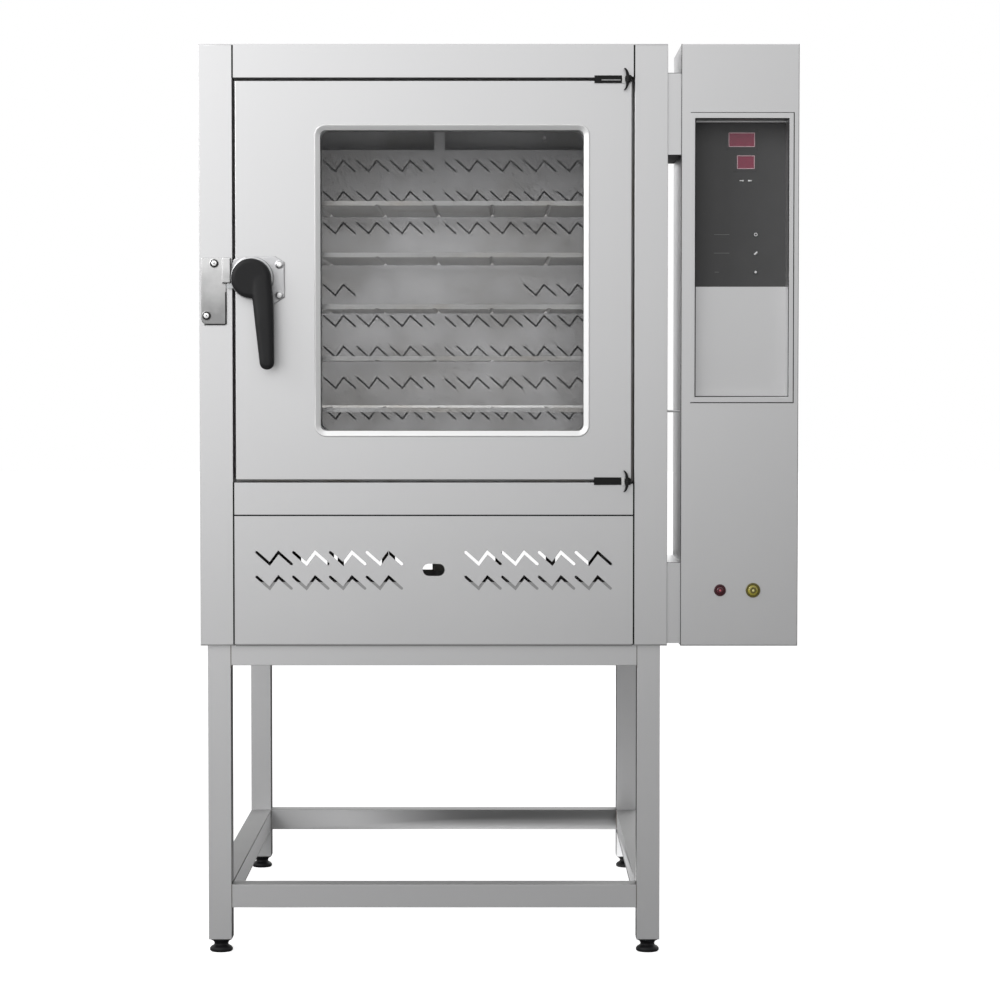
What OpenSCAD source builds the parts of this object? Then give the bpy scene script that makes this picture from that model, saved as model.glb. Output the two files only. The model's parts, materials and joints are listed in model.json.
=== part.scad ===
// Gas convection bakery oven for five trays, on a square-tube stand, with a side control box.
// Millimetres. The front plane of the body is y = 0 before the part is centred on its own box.

/* [Body] */
// Width of the oven body
body_w = 806; // [780:1:860]
// Depth of the oven body
body_d = 976; // [960:1:1040]
// Height of the oven body
body_h = 1035; // [1025:1:1060]
// Thickness of the outer sheets
sheet = 1.5; // [1:0.1:2]
// Width of the front posts
post_w = 57; // [50:1:60]
// Height of the header above the door
header_h = 58; // [50:1:64]
// Height of the rail under the door
rail_h = 56; // [48:1:60]
// Height of the burner cover
cover_h = 222; // [215:1:228]
// Open seam between the posts, the header, the rail and the burner cover
seam = 1.3; // [0.8:0.1:2]

/* [Door] */
// Gap between the door and its frame
door_gap = 5; // [4:0.5:6]
// Thickness of the door
door_d = 48; // [44:1:56]
// Width of the window trim's outline
window_w = 474; // [440:1:480]
// Height of the window trim's outline
window_h = 537; // [500:1:550]
// Corner radius of the window trim
window_r = 20; // [16:1:26]
// Width of the trim that shows round the glass
trim_w = 10.4; // [8:0.2:12]
// How far the trim stands out of the door
trim_out = 2.6; // [1.5:0.1:4]
// Shift of the window towards the hinges
window_shift = 32; // [20:1:34]
// Thickness of each glass pane
glass_t = 4; // [3:0.5:6]
// Height of the squeezed gasket
gasket_h = 5.2; // [4:0.1:7]

/* [Handle] */
// Distance of the handle's axis from the door edge
handle_edge = 26.8; // [26.5:0.1:30]
// Height of the handle's axis above the door's middle
handle_rise = 3; // [-20:1:30]
// Radius of the lever's round head
head_r = 34; // [32:1:36]
// Length of the lever below its axis
lever_l = 156; // [140:1:175]
// Depth of the cast housing
housing_d = 22; // [20:1:26]
// Radius of the latch spindle
spindle_r = 8; // [7:0.5:9]

/* [Chamber] */
// Inside width of the baking chamber
chamber_w = 644; // [640:1:650]
// Inside height of the baking chamber
chamber_h = 648; // [640:1:656]
// Inside depth of the baking chamber
chamber_d = 636; // [630:1:650]
// Thickness of the chamber sheets
chamber_t = 1.5; // [1:0.1:2]
// Depth of the insulation behind the chamber
back_wool = 48; // [40:1:55]

/* [Trays] */
// Number of tray levels
tray_n = 5; // [5]
// Width of a tray
tray_w = 600; // [596:1:606]
// Depth of a tray
tray_l = 400; // [390:1:410]
// Height step between trays
tray_pitch = 90; // [84:1:92]
// Height of the lowest tray above the chamber floor
tray_low = 97; // [80:1:110]
// Distance of the trays behind the closed door
tray_back = 24; // [23:1:30]
// Number of troughs in a tray
trough_n = 6; // [4:1:8]
// Height of the ridges between the troughs
ridge_h = 6; // [4:0.5:7]
// Thickness of the tray sheet
tray_t = 1.5; // [1:0.1:2]

/* [Air guide and fan] */
// Depth of the air guide behind the chamber mouth
guide_y = 494; // [485:1:505]
// Opening above the air guide
guide_gap = 60; // [50:1:70]
// Width of the strap in front of the air guide
strap_w = 20; // [16:1:26]
// Radius of the fan wheel
fan_r = 170; // [150:1:185]
// Depth of the fan wheel
fan_d = 74; // [64:1:80]
// Number of fan blades
blade_n = 12; // [8:1:16]
// Radius of the motor shaft
shaft_r = 9.5; // [8:0.5:11]
// Radius of the fan motor
motor_r = 75; // [70:1:85]
// Length of the fan motor
motor_l = 150; // [130:1:170]

/* [Slots] */
// Height of a zigzag slot
zig_h = 20; // [17:1:24]
// Width of the zigzag slots in the burner cover
zig_w = 4.8; // [4:0.2:5.6]
// Width of the zigzag slots in the air guide
guide_zig_w = 3; // [2.4:0.2:4]
// Step between zigzag units
zig_pitch = 63.5; // [62:0.5:66]

/* [Burners] */
// Radius of a burner tube
burner_r = 19; // [16:1:22]
// Length of a burner tube
burner_l = 500; // [440:1:540]
// Height of the burners above the base
burner_z = 200; // [192:1:204]
// Radius of the gas pipe
gas_r = 10.5; // [9:0.5:12]
// Length of the gas inlet behind the body
gas_out = 30; // [24:1:45]

/* [Flue] */
// Radius of the flue collar
flue_r = 60; // [55:1:64]
// Height of the flue collar above the roof
flue_h = 60; // [50:1:80]

/* [Control box] */
// Width of the control box
box_w = 202.4; // [195:0.2:215]
// Depth of the control box
box_d = 230; // [220:1:260]
// Gap between the body and the control box
box_gap = 23; // [18:1:28]
// Width of the panel frame
panel_w = 176; // [170:0.5:180]
// Height of the panel frame
panel_h = 496; // [480:1:510]
// Depth of the panel's recess
recess_d = 60; // [40:1:75]
// Height of the panel frame's bottom above the box's bottom
panel_rise = 421; // [400:1:430]
// Width of the panel frame's side borders
border_w = 7.4; // [6:0.2:9]
// Height of the panel frame's top and bottom borders
border_h = 9.1; // [7:0.1:11]
// Height of the membrane
membrane_h = 287; // [270:1:300]
// Travel of a membrane key
key_travel = 0.6; // [0.4:0.1:0.8]

/* [Stand] */
// Height of the stand
stand_h = 536; // [480:1:620]
// Side of the square tubes
leg_w = 40; // [35:1:45]
// Wall of the square tubes
tube_t = 1.5; // [1.2:0.1:3]
// How far the legs stand in from the body's sides
leg_in = 11.5; // [8:0.5:16]
// How far the legs stand in from the body's front and back
leg_back = 8; // [5:1:15]
// Height of the top rails
top_rail_h = 35; // [30:1:45]
// Height of the lower rails' underside
low_rail_z = 79; // [70:1:160]
// Height of a levelling foot
foot_h = 23; // [20:1:30]
// Radius of a levelling foot
foot_r = 20; // [16:1:22]
// Radius of a levelling foot's stud
stud_r = 6; // [5:0.5:8]

/* [Hidden] */
$fn = 48;

// Heights
body_top = stand_h + body_h;
rail_z = stand_h + sheet + cover_h + 2 * seam;
rail_top = rail_z + rail_h;
header_z = body_top - header_h;
door_w = body_w - 2 * (post_w + door_gap);
door_h = header_z - rail_top - 2 * door_gap;
door_z = rail_top + door_gap;
door_mid = door_z + door_h / 2;
chamber_z = door_mid - chamber_h / 2;
chamber_top = chamber_z + chamber_h;

// Depths
gasket_clear = 0.3;
jamb_d = door_d + gasket_h + gasket_clear;
mouth_t = 2;
chamber_y = jamb_d + mouth_t;
chamber_end = chamber_y + chamber_d;
plate_y = chamber_end + chamber_t + back_wool;
plate_t = 2;
guide_front = chamber_y + guide_y;
tray_y = door_d + tray_back;
opening_w = body_w - 2 * post_w;
seamed_w = opening_w - 2 * seam;

// Running clearance of every shaft in its bore, and room between curved faces
run = 0.05;
room = 0.3;
eps = 0.5;

// Handle, hinges and stand
hub_x = -door_w / 2 + handle_edge;
hub_z = door_mid + handle_rise;
lever_out = 62;
hinge_x = door_w / 2 - 6;
hinge_out = 10;
pin_r = 3;
eye_r = 5.5;
leg_x = body_w / 2 - leg_in - leg_w / 2;
leg_y = [leg_back + leg_w / 2, body_d - leg_back - leg_w / 2];
rear_reach = body_d + gas_out;
box_x = body_w / 2 + box_gap;
panel_x = box_x + box_w / 2 + 3.4;
panel_z = stand_h + panel_rise;
inner_w = panel_w - 2 * border_w;
inner_h = panel_h - 2 * border_h;
shift_x = -(box_gap + box_w) / 2;
shift_y = -(rear_reach - lever_out) / 2;

// Puts the origin at the bottom centre of the whole part's box
module place() translate([shift_x, shift_y, 0]) children();

// Turns a flat outline to face the front, from y0 back to y0 + depth
module facing(y0, depth) translate([0, y0 + depth, 0]) rotate([90, 0, 0])
    linear_extrude(depth) children();

// A cylinder along Y from y0 back to y0 + l
module rod(x, y0, z, r, l) translate([x, y0 + l, z]) rotate([90, 0, 0]) cylinder(r = r, h = l);

module block(x0, x1, y0, y1, z0, z1) translate([x0, y0, z0]) cube([x1 - x0, y1 - y0, z1 - z0]);

// Points of a rectangle with round corners, centred at the origin
function rounded(w, h, r) = [for (c = [[1, 1, 0], [-1, 1, 90], [-1, -1, 180], [1, -1, 270]])
    for (k = [0:5]) [c[0] * (w / 2 - r) + r * cos(c[2] + 18 * k),
        c[1] * (h / 2 - r) + r * sin(c[2] + 18 * k)]];

// A frame with round corners. Its section runs inwards from its outline and out to the front
module profiled_frame(w, h, r, section) {
    for (s = [-1, 1]) {
        translate([0, 0, -h / 2 + r]) linear_extrude(h - 2 * r)
            polygon([for (p = section) [s * (w / 2 - p[0]), -p[1]]]);
        translate([-w / 2 + r, 0, 0]) rotate([90, 0, 90]) linear_extrude(w - 2 * r)
            polygon([for (p = section) [-p[1], s * (h / 2 - p[0])]]);
    }
    for (c = [[1, 1, 0], [-1, 1, 90], [-1, -1, 180], [1, -1, 270]])
        translate([c[0] * (w / 2 - r), 0, c[1] * (h / 2 - r)]) rotate([90, 0, 0])
            rotate([0, 0, c[2]]) rotate_extrude(angle = 90)
                polygon([for (p = section) [r - p[0], p[1]]]);
}

// A band of constant width along a bent path, with round ends
function unit(v) = v / norm(v);
function left_of(v) = [-v[1], v[0]];
function mitre(a, b, c) = let (n = left_of(unit(b - a)), m = unit(n + left_of(unit(c - b)))) m / (m * n);
function heading(a, b) = atan2(b[1] - a[1], b[0] - a[0]);
function cap(p, a, r) = [for (k = [0:4]) p + r * [cos(a - 45 * k), sin(a - 45 * k)]];
function band(path, w) = let (n = len(path) - 1, r = w / 2) concat(
    cap(path[0], heading(path[0], path[1]) + 270, r),
    [for (i = [1:1:n - 1]) path[i] + r * mitre(path[i - 1], path[i], path[i + 1])],
    cap(path[n], heading(path[n - 1], path[n]) + 90, r),
    [for (i = [n - 1:-1:1]) path[i] - r * mitre(path[i - 1], path[i], path[i + 1])]);

// One zigzag unit: down, up and down again
zig_run = [22.5, 15, 22.5];
function zigzag() = let (w = zig_run[0] + zig_run[1] + zig_run[2], h = zig_h / 2)
    [[-w / 2, h], [-w / 2 + zig_run[0], -h], [w / 2 - zig_run[2], h], [w / 2, -h]];

// STAND

module tube_z(x, y, z0, z1) difference() {
    block(x - leg_w / 2, x + leg_w / 2, y - leg_w / 2, y + leg_w / 2, z0, z1);
    block(x - leg_w / 2 + tube_t, x + leg_w / 2 - tube_t,
        y - leg_w / 2 + tube_t, y + leg_w / 2 - tube_t, z0 - 1, z1 + 1);
}

insert_h = 25;
module leg_insert(x, y) difference() {
    block(x - leg_w / 2 + tube_t, x + leg_w / 2 - tube_t,
        y - leg_w / 2 + tube_t, y + leg_w / 2 - tube_t, foot_h, foot_h + insert_h);
    translate([x, y, foot_h - 1]) cylinder(r = stud_r + run, h = insert_h + 2);
}

module stand_legs() color("gainsboro") place() for (x = [-leg_x, leg_x]) for (y = leg_y) {
    tube_z(x, y, foot_h, stand_h);
    leg_insert(x, y);
}

// Rails between the legs: front, rear and both sides
module rails(z0, h) {
    for (y = leg_y) difference() {
        block(-leg_x + leg_w / 2, leg_x - leg_w / 2, y - leg_w / 2, y + leg_w / 2, z0, z0 + h);
        block(-leg_x, leg_x, y - leg_w / 2 + tube_t, y + leg_w / 2 - tube_t,
            z0 + tube_t, z0 + h - tube_t);
    }
    for (x = [-leg_x, leg_x]) difference() {
        block(x - leg_w / 2, x + leg_w / 2, leg_y[0] + leg_w / 2, leg_y[1] - leg_w / 2, z0, z0 + h);
        block(x - leg_w / 2 + tube_t, x + leg_w / 2 - tube_t, leg_y[0], leg_y[1],
            z0 + tube_t, z0 + h - tube_t);
    }
}

module stand_top_rails() color("gainsboro") place() rails(stand_h - top_rail_h, top_rail_h);

module stand_lower_rails() color("gainsboro") place() rails(low_rail_z, leg_w);

// A levelling foot: rounded pad, waist, rim under the leg and threaded stud
pad_h = 8.5;
waist_r = 0.6 * foot_r;
rim_r = 0.9 * foot_r;
rim_h = 3;
stud_l = 44;
module foot(x, y) color("dimgray") place() translate([x, y, 0]) {
    rotate_extrude() polygon([[0, 0], [foot_r - 2, 0], [foot_r, 2], [foot_r, pad_h - 3],
        [foot_r - 2.5, pad_h], [waist_r + 1, pad_h + 2.5], [waist_r, pad_h + 5],
        [waist_r + 1.5, foot_h - rim_h - 2.5], [rim_r, foot_h - rim_h], [rim_r, foot_h], [0, foot_h]]);
    translate([0, 0, foot_h]) cylinder(r = stud_r, h = stud_l);
}

module foot_1() foot(-leg_x, leg_y[0]);
module foot_2() foot(leg_x, leg_y[0]);
module foot_3() foot(-leg_x, leg_y[1]);
module foot_4() foot(leg_x, leg_y[1]);

// BODY PANELS

flange = 30;
module side_panel(s) color("lightgray") place() mirror([s < 0 ? 1 : 0, 0, 0])
    translate([0, 0, stand_h + sheet]) linear_extrude(body_h - 2 * sheet) polygon([
        [opening_w / 2, 0], [body_w / 2, 0], [body_w / 2, body_d - sheet],
        [body_w / 2 - flange, body_d - sheet], [body_w / 2 - flange, body_d - 2 * sheet],
        [body_w / 2 - sheet, body_d - 2 * sheet], [body_w / 2 - sheet, sheet],
        [opening_w / 2 + sheet, sheet], [opening_w / 2 + sheet, jamb_d],
        [opening_w / 2, jamb_d]]);

module side_panel_left() side_panel(-1);
module side_panel_right() side_panel(1);

duct_t = 1.5;
duct_w = 2 * flue_r;
duct_x = -body_w / 2 + 133;
duct_y = plate_y + plate_t + 12 + flue_r;

module roof_panel() color("lightgray") place() difference() {
    block(-body_w / 2, body_w / 2, 0, body_d, body_top - sheet, body_top);
    translate([duct_x, duct_y, body_top - sheet - 1])
        cylinder(r = flue_r - duct_t - 1, h = sheet + 2);
}

// Rear sheet with the burner air inlet, louvre slots and the gas pipe's hole
inlet_w = 590;
inlet_z = stand_h + 70;
inlet_h = 56;
louvre_w = 90;
louvre_h = 6;
gas_x = body_w / 2 - 45;
pipe_r = gas_r - 1.2;
gas_z = stand_h + burner_z;
module rear_panel() color("lightgray") place() difference() {
    block(-body_w / 2, body_w / 2, body_d - sheet, body_d, stand_h + sheet, body_top - sheet);
    block(-inlet_w / 2, inlet_w / 2, body_d - sheet - 1, body_d + 1, inlet_z, inlet_z + inlet_h);
    for (x = [-1:1]) for (k = [0:5]) translate([130 * x, 0, door_mid + 120 + 24 * k])
        facing(body_d - sheet - 1, sheet + 2) polygon(rounded(louvre_w, louvre_h, 2.9));
    rod(gas_x, body_d - sheet - 1, gas_z, pipe_r + room, sheet + 2);
}

// Header: face, top edge and a lower flange back to the chamber mouth
module front_header() color("lightgray") place() translate([-seamed_w / 2, 0, 0])
    rotate([90, 0, 90]) linear_extrude(seamed_w) polygon([
        [0, header_z], [jamb_d, header_z], [jamb_d, header_z + sheet], [sheet, header_z + sheet],
        [sheet, body_top - sheet], [0, body_top - sheet]]);

module middle_rail() color("lightgray") place() translate([-seamed_w / 2, 0, 0])
    rotate([90, 0, 90]) linear_extrude(seamed_w) polygon([
        [0, rail_z], [jamb_d, rail_z], [jamb_d, rail_z + sheet], [sheet, rail_z + sheet],
        [sheet, rail_top - sheet], [jamb_d, rail_top - sheet], [jamb_d, rail_top], [0, rail_top]]);

// Base pan: floor sheet with a tall front lip that carries the cover, and a low rear lip
lip_h = 110;
lip_in = 1;
rear_lip_h = 40;
module base_pan() color("silver") place() {
    block(-body_w / 2, body_w / 2, 0, body_d, stand_h, stand_h + sheet);
    lip_w = seamed_w - 2 * (sheet + lip_in);
    block(-lip_w / 2, lip_w / 2, sheet, 2 * sheet, stand_h + sheet, stand_h + lip_h);
    block(-opening_w / 2, opening_w / 2, body_d - flange - sheet, body_d - flange,
        stand_h + sheet, stand_h + rear_lip_h);
}

// Burner cover: sheet with a side and top edge, zigzag air slots and an obround peephole
cover_edge = 12;
zig_group_x = 180.5;
zig_rows = [151.5, 109];
peep_w = 38;
peep_h = 21;
module burner_cover() color("lightgray") place() {
    w = seamed_w;
    z0 = stand_h + sheet + seam;
    difference() {
        block(-w / 2, w / 2, 0, sheet, z0, z0 + cover_h);
        facing(-1, sheet + 2) {
            for (s = [-1, 1]) for (k = [-1.5:1.5]) for (z = zig_rows)
                translate([s * zig_group_x + k * zig_pitch, stand_h + z]) polygon(band(zigzag(), zig_w));
            translate([0, stand_h + (zig_rows[0] + zig_rows[1]) / 2 + 1])
                polygon(rounded(peep_w, peep_h, peep_h / 2 - 0.1));
        }
    }
    for (s = [-1, 1]) block(s * (w - sheet) / 2 - sheet / 2, s * (w - sheet) / 2 + sheet / 2,
        sheet, cover_edge, z0, z0 + cover_h);
    block(-w / 2 + sheet, w / 2 - sheet, sheet, cover_edge, z0 + cover_h - sheet, z0 + cover_h);
}

// BAKING CHAMBER

module chamber_walls() color("darkgray") place() {
    for (z = [chamber_z - chamber_t, chamber_top]) block(-chamber_w / 2 - chamber_t,
        chamber_w / 2 + chamber_t, chamber_y, chamber_end, z, z + chamber_t);
    for (x = [-chamber_w / 2 - chamber_t, chamber_w / 2]) block(x, x + chamber_t,
        chamber_y, chamber_end, chamber_z, chamber_top);
}

shaft_hole_r = 17;
probe_x = 200;
probe_z = chamber_top - 30;
probe_r = 3;
module chamber_back() color("darkgray") place() difference() {
    block(-chamber_w / 2 - chamber_t, chamber_w / 2 + chamber_t, chamber_end,
        chamber_end + chamber_t, chamber_z - chamber_t, chamber_top + chamber_t);
    rod(0, chamber_end - 1, door_mid, shaft_hole_r, chamber_t + 2);
    rod(probe_x, chamber_end - 1, probe_z, probe_r + run, chamber_t + 2);
}

module chamber_mouth() color("darkgray") place() difference() {
    block(-body_w / 2 + sheet, body_w / 2 - sheet, jamb_d, chamber_y, rail_z, body_top - sheet);
    block(-chamber_w / 2, chamber_w / 2, jamb_d - 1, chamber_y + 1, chamber_z, chamber_top);
}

// Mineral wool: both sides, top and back
wool_z = rail_z + plate_t;
wool_hole_r = 30;
module insulation() color("khaki") place() {
    in_x = chamber_w / 2 + chamber_t;
    out_x = body_w / 2 - sheet;
    for (x = [[-out_x, -in_x], [in_x, out_x]])
        block(x[0], x[1], chamber_y, plate_y, wool_z, body_top - sheet);
    block(-in_x, in_x, chamber_y, plate_y, chamber_top + chamber_t, body_top - sheet);
    difference() {
        block(-in_x, in_x, chamber_end + chamber_t, plate_y, wool_z, chamber_top + chamber_t);
        rod(0, chamber_end, door_mid, wool_hole_r, back_wool + 4);
        rod(probe_x, chamber_end, probe_z, probe_r + run, back_wool + 4);
    }
}

// Wall and floor of the motor compartment
module motor_plate() color("silver") place() difference() {
    union() {
        block(-body_w / 2 + sheet, body_w / 2 - sheet, plate_y, plate_y + plate_t, rail_z, body_top - sheet);
        block(-body_w / 2 + sheet, body_w / 2 - sheet, plate_y + plate_t, body_d - 2 * sheet,
            rail_z, rail_z + plate_t);
    }
    rod(0, plate_y - 1, door_mid, wool_hole_r, plate_t + 2);
    rod(probe_x, plate_y - 1, probe_z, probe_r + run, plate_t + 2);
    block(duct_x - duct_w / 2 - room, duct_x + duct_w / 2 + room, duct_y - duct_w / 2 - room,
        duct_y + duct_w / 2 + room, rail_z - 1, rail_z + plate_t + 1);
}

// Air guide in front of the fan: a box open to the rear, with rows of zigzag slots
guide_w = 600;
guide_t = 1.5;
guide_rows = 10;
guide_row_step = 58.7;
guide_units = 4;
bare_row = 4;
bare_units = 2;
guide_row_top = chamber_h - 90;
module fan_baffle() color("gray") place() {
    top = chamber_top - guide_gap;
    difference() {
        block(-guide_w / 2, guide_w / 2, guide_front, guide_front + guide_t, chamber_z, top);
        facing(guide_front - 1, guide_t + 2) for (row = [0:guide_rows - 1])
            for (k = [-guide_units:guide_units]) if (row != bare_row || abs(k) > bare_units)
                translate([k * zig_pitch, chamber_z + guide_row_top - row * guide_row_step])
                    polygon(band(zigzag(), guide_zig_w));
    }
    for (x = [-guide_w / 2, guide_w / 2 - guide_t])
        block(x, x + guide_t, guide_front + guide_t, chamber_end, chamber_z, top);
}

strap_t = 3;
module baffle_strap() color("gray") place()
    block(-strap_w / 2, strap_w / 2, guide_front - strap_t, guide_front, chamber_z, chamber_top);

// Racks: two uprights a side, with an angle runner for each tray
runner_w = 30;
runner_t = 2;
upright_w = 22;
upright_t = 4;
upright_inset = 40;
upright_rise = 40;
function tray_z(i) = chamber_z + tray_low + i * tray_pitch;
module tray_racks() color("silver") place() for (s = [0, 1]) mirror([s, 0, 0]) {
    out_x = chamber_w / 2;
    for (y = [tray_y + upright_inset, tray_y + tray_l - upright_inset])
        block(out_x - upright_t, out_x, y - upright_w / 2, y + upright_w / 2, chamber_z,
            tray_z(tray_n - 1) + upright_rise);
    for (i = [0:tray_n - 1]) translate([0, tray_y + tray_l + 8, tray_z(i)]) rotate([90, 0, 0])
        linear_extrude(tray_l + 8) polygon([
            [out_x - upright_t, -runner_t], [out_x - upright_t, 16],
            [out_x - upright_t - runner_t, 16], [out_x - upright_t - runner_t, 0],
            [out_x - upright_t - runner_w, 0], [out_x - upright_t - runner_w, -runner_t]]);
}

// Baguette tray: flat troughs between folded ridges, with a front and a rear lip
tray_lip_h = 8;
lip_t = 1.5;
ridge_w = 8;
function ridge_line(z) = let (w = tray_w / trough_n) [for (i = [1:trough_n - 1]) each [
    [-tray_w / 2 + i * w - ridge_w / 2, z], [-tray_w / 2 + i * w - 0.7, z + ridge_h - tray_t],
    [-tray_w / 2 + i * w + 0.7, z + ridge_h - tray_t], [-tray_w / 2 + i * w + ridge_w / 2, z]]];
module tray(i) color("darkgray") place() translate([0, tray_y, tray_z(i)]) {
    top = concat([[-tray_w / 2, tray_t]], ridge_line(tray_t), [[tray_w / 2, tray_t]]);
    under = concat([[-tray_w / 2, 0]], ridge_line(0), [[tray_w / 2, 0]]);
    translate([0, tray_l, 0]) rotate([90, 0, 0]) linear_extrude(tray_l)
        polygon(concat(top, [for (k = [len(under) - 1:-1:0]) under[k]]));
    for (y = [0, tray_l - lip_t])
        block(-tray_w / 2, tray_w / 2, y, y + lip_t, tray_t, tray_lip_h);
}

module tray_1() tray(0);
module tray_2() tray(1);
module tray_3() tray(2);
module tray_4() tray(3);
module tray_5() tray(4);

// FAN

hub_r = 26;
fan_back_y = chamber_end - 24;
fan_t = 2;
// Wheel: back disc, front ring, leaning blades and a bored hub
module fan_wheel() color("gray") place() difference() {
    union() {
        rod(0, fan_back_y, door_mid, fan_r, fan_t);
        rod(0, fan_back_y - hub_front, door_mid, hub_r, hub_front + 8);
        difference() {
            rod(0, fan_back_y - fan_d, door_mid, fan_r, fan_t);
            rod(0, fan_back_y - fan_d - 1, door_mid, 0.66 * fan_r, fan_t + 2);
        }
        for (k = [0:blade_n - 1]) translate([0, 0, door_mid]) rotate([0, k * 360 / blade_n, 0])
            translate([0.81 * fan_r, 0, 0]) rotate([0, 40, 0])
                block(-0.2 * fan_r, 0.2 * fan_r, fan_back_y - fan_d + fan_t, fan_back_y, -1, 1);
    }
    rod(0, fan_back_y - hub_front - 1, door_mid, shaft_r, hub_front + 10);
}

// Shaft from inside the motor to the wheel's hub, with a washer nut at its end
shaft_in = 60;
hub_front = 40;
shaft_end = 46;
nut_r = 16;
module motor_shaft() color("silver") place() {
    rod(0, fan_back_y - shaft_end, door_mid, shaft_r,
        plate_y + plate_t + shaft_in - fan_back_y + shaft_end);
    rod(0, fan_back_y - shaft_end - 4, door_mid, nut_r, shaft_end + 4 - hub_front - eps);
}

// Motor: flange, ribbed body, terminal box and end cover, bored for its shaft
rib_n = 10;
motor_ends = 30;
module fan_motor() color("slategray") place() {
    y0 = plate_y + plate_t;
    step = (motor_l - motor_ends) / rib_n;
    difference() {
        translate([0, y0, door_mid]) rotate([-90, 0, 0]) rotate_extrude() polygon(concat(
            [[0, 0], [motor_r + 22, 0], [motor_r + 22, 10], [motor_r - 6, 10]],
            [for (k = [0:rib_n - 1]) each [
                [motor_r - 6, 12 + k * step], [motor_r, 12 + k * step],
                [motor_r, 12 + (k + 0.5) * step], [motor_r - 6, 12 + (k + 0.5) * step]]],
            [[motor_r - 6, motor_l - 18], [motor_r, motor_l - 16], [motor_r, motor_l - 4],
                [motor_r - 8, motor_l], [0, motor_l]]));
        rod(0, y0 - 1, door_mid, shaft_r + run, shaft_in + 3);
    }
    block(-32, 32, y0 + 40, y0 + 110, door_mid + motor_r - 3, door_mid + motor_r + 36);
}

// FLUE AND BURNERS

module flue_duct() color("silver") place() {
    r = flue_r;
    difference() {
        block(duct_x - duct_w / 2, duct_x + duct_w / 2, duct_y - duct_w / 2, duct_y + duct_w / 2,
            rail_z - 6, body_top - sheet);
        block(duct_x - duct_w / 2 + duct_t, duct_x + duct_w / 2 - duct_t,
            duct_y - duct_w / 2 + duct_t, duct_y + duct_w / 2 - duct_t, rail_z - 7, body_top);
    }
    translate([duct_x, duct_y, body_top]) difference() {
        union() {
            cylinder(r = r, h = flue_h);
            cylinder(r = r + 22, h = 2);
        }
        translate([0, 0, -1]) cylinder(r = r - duct_t, h = flue_h + 2);
    }
}

burner_x = [-240, -80, 80, 240];
burner_y = jamb_d + 76;
bell_l = 40;
port_n = 14;
// Burner tubes with a bell mouth and port slots, carried by two cross bars on stays
module burner_tubes() color("dimgray") place() {
    for (x = burner_x) translate([x, burner_y, gas_z]) difference() {
        rotate([-90, 0, 0]) rotate_extrude() polygon([[0, burner_l], [burner_r, burner_l],
            [burner_r, bell_l + 20], [0.6 * burner_r, bell_l], [0.6 * burner_r, 14],
            [burner_r, 0], [burner_r - 1.5, 0], [0.6 * burner_r - 1.5, 14],
            [0.6 * burner_r - 1.5, bell_l], [burner_r - 1.5, bell_l + 20],
            [burner_r - 1.5, burner_l - 1.5], [0, burner_l - 1.5]]);
        for (k = [0:port_n - 1]) block(-7, 7, bell_l + 45 + 27 * k, bell_l + 48 + 27 * k,
            burner_r - 4, burner_r + 1);
    }
    for (y = burner_bar_y) {
        block(-300, 300, y, y + bar_w, gas_z - burner_r - room - bar_t, gas_z - burner_r - room);
        for (x = stay_x) block(x - stay_w / 2, x + stay_w / 2, y, y + 4,
            stand_h + sheet, gas_z - burner_r - room - bar_t);
    }
}
bar_w = 25;
bar_t = 3;
stay_w = 12;
stay_x = [-272, -190, -92, 112, 208, 290];
burner_bar_y = [burner_y + 90, burner_y + burner_l - 60];

// Gas pipe from the rear inlet to the burner jets, with its valve block. The inlet is wider
jet_y = burner_y - 36;
valve = [52, 90, 58];
valve_y = 300;
inlet_gap = 2;
module gas_train() color("goldenrod") place() {
    difference() {
        union() {
            rod(gas_x, jet_y, gas_z, pipe_r, rear_reach - jet_y - 1);
            rod(gas_x, body_d + inlet_gap, gas_z, gas_r, gas_out - inlet_gap);
            translate([burner_x[0] - 20, jet_y, gas_z]) rotate([0, 90, 0])
                cylinder(r = pipe_r, h = gas_x - burner_x[0] + 20);
            translate([gas_x, jet_y, gas_z]) sphere(r = pipe_r);
            for (x = burner_x) rod(x, jet_y, gas_z, 5, 32);
        }
        rod(gas_x, body_d - 40, gas_z, gas_r - 3, gas_out + 41);
    }
    difference() {
        block(gas_x - valve[0] / 2, gas_x + valve[0] / 2, valve_y, valve_y + valve[1],
            gas_z - valve[2] / 2 - 8, gas_z + valve[2] / 2 - 8);
        rod(gas_x, valve_y - 1, gas_z, pipe_r + run, valve[1] + 2);
    }
}

// Spark electrode and flame sensor on a bracket at the second burner
module igniter() color("white") place() {
    x = burner_x[1] + burner_r + 54;
    block(x, x + 36, burner_bar_y[0] - 2, burner_bar_y[0], gas_z - 84, gas_z - burner_r - room);
    for (k = [8, 28]) {
        rod(x + k, burner_bar_y[0] - 42, gas_z - 40, 5, 40);
        rod(x + k, burner_bar_y[0] - 60, gas_z - 40, 1.5, 18);
    }
}

module temperature_probe() color("silver") place() {
    rod(probe_x, chamber_end - 60, probe_z, probe_r, 60 + back_wool + plate_t + 20);
    rod(probe_x, plate_y + plate_t, probe_z, 8, 12);
}

// DOOR

liner_t = 1.5;
trim_lap = 3;
pane_lap = 9;
wool_in = pane_lap + 2;
module at_window() translate([window_shift, 0, door_mid]) children();

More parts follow.
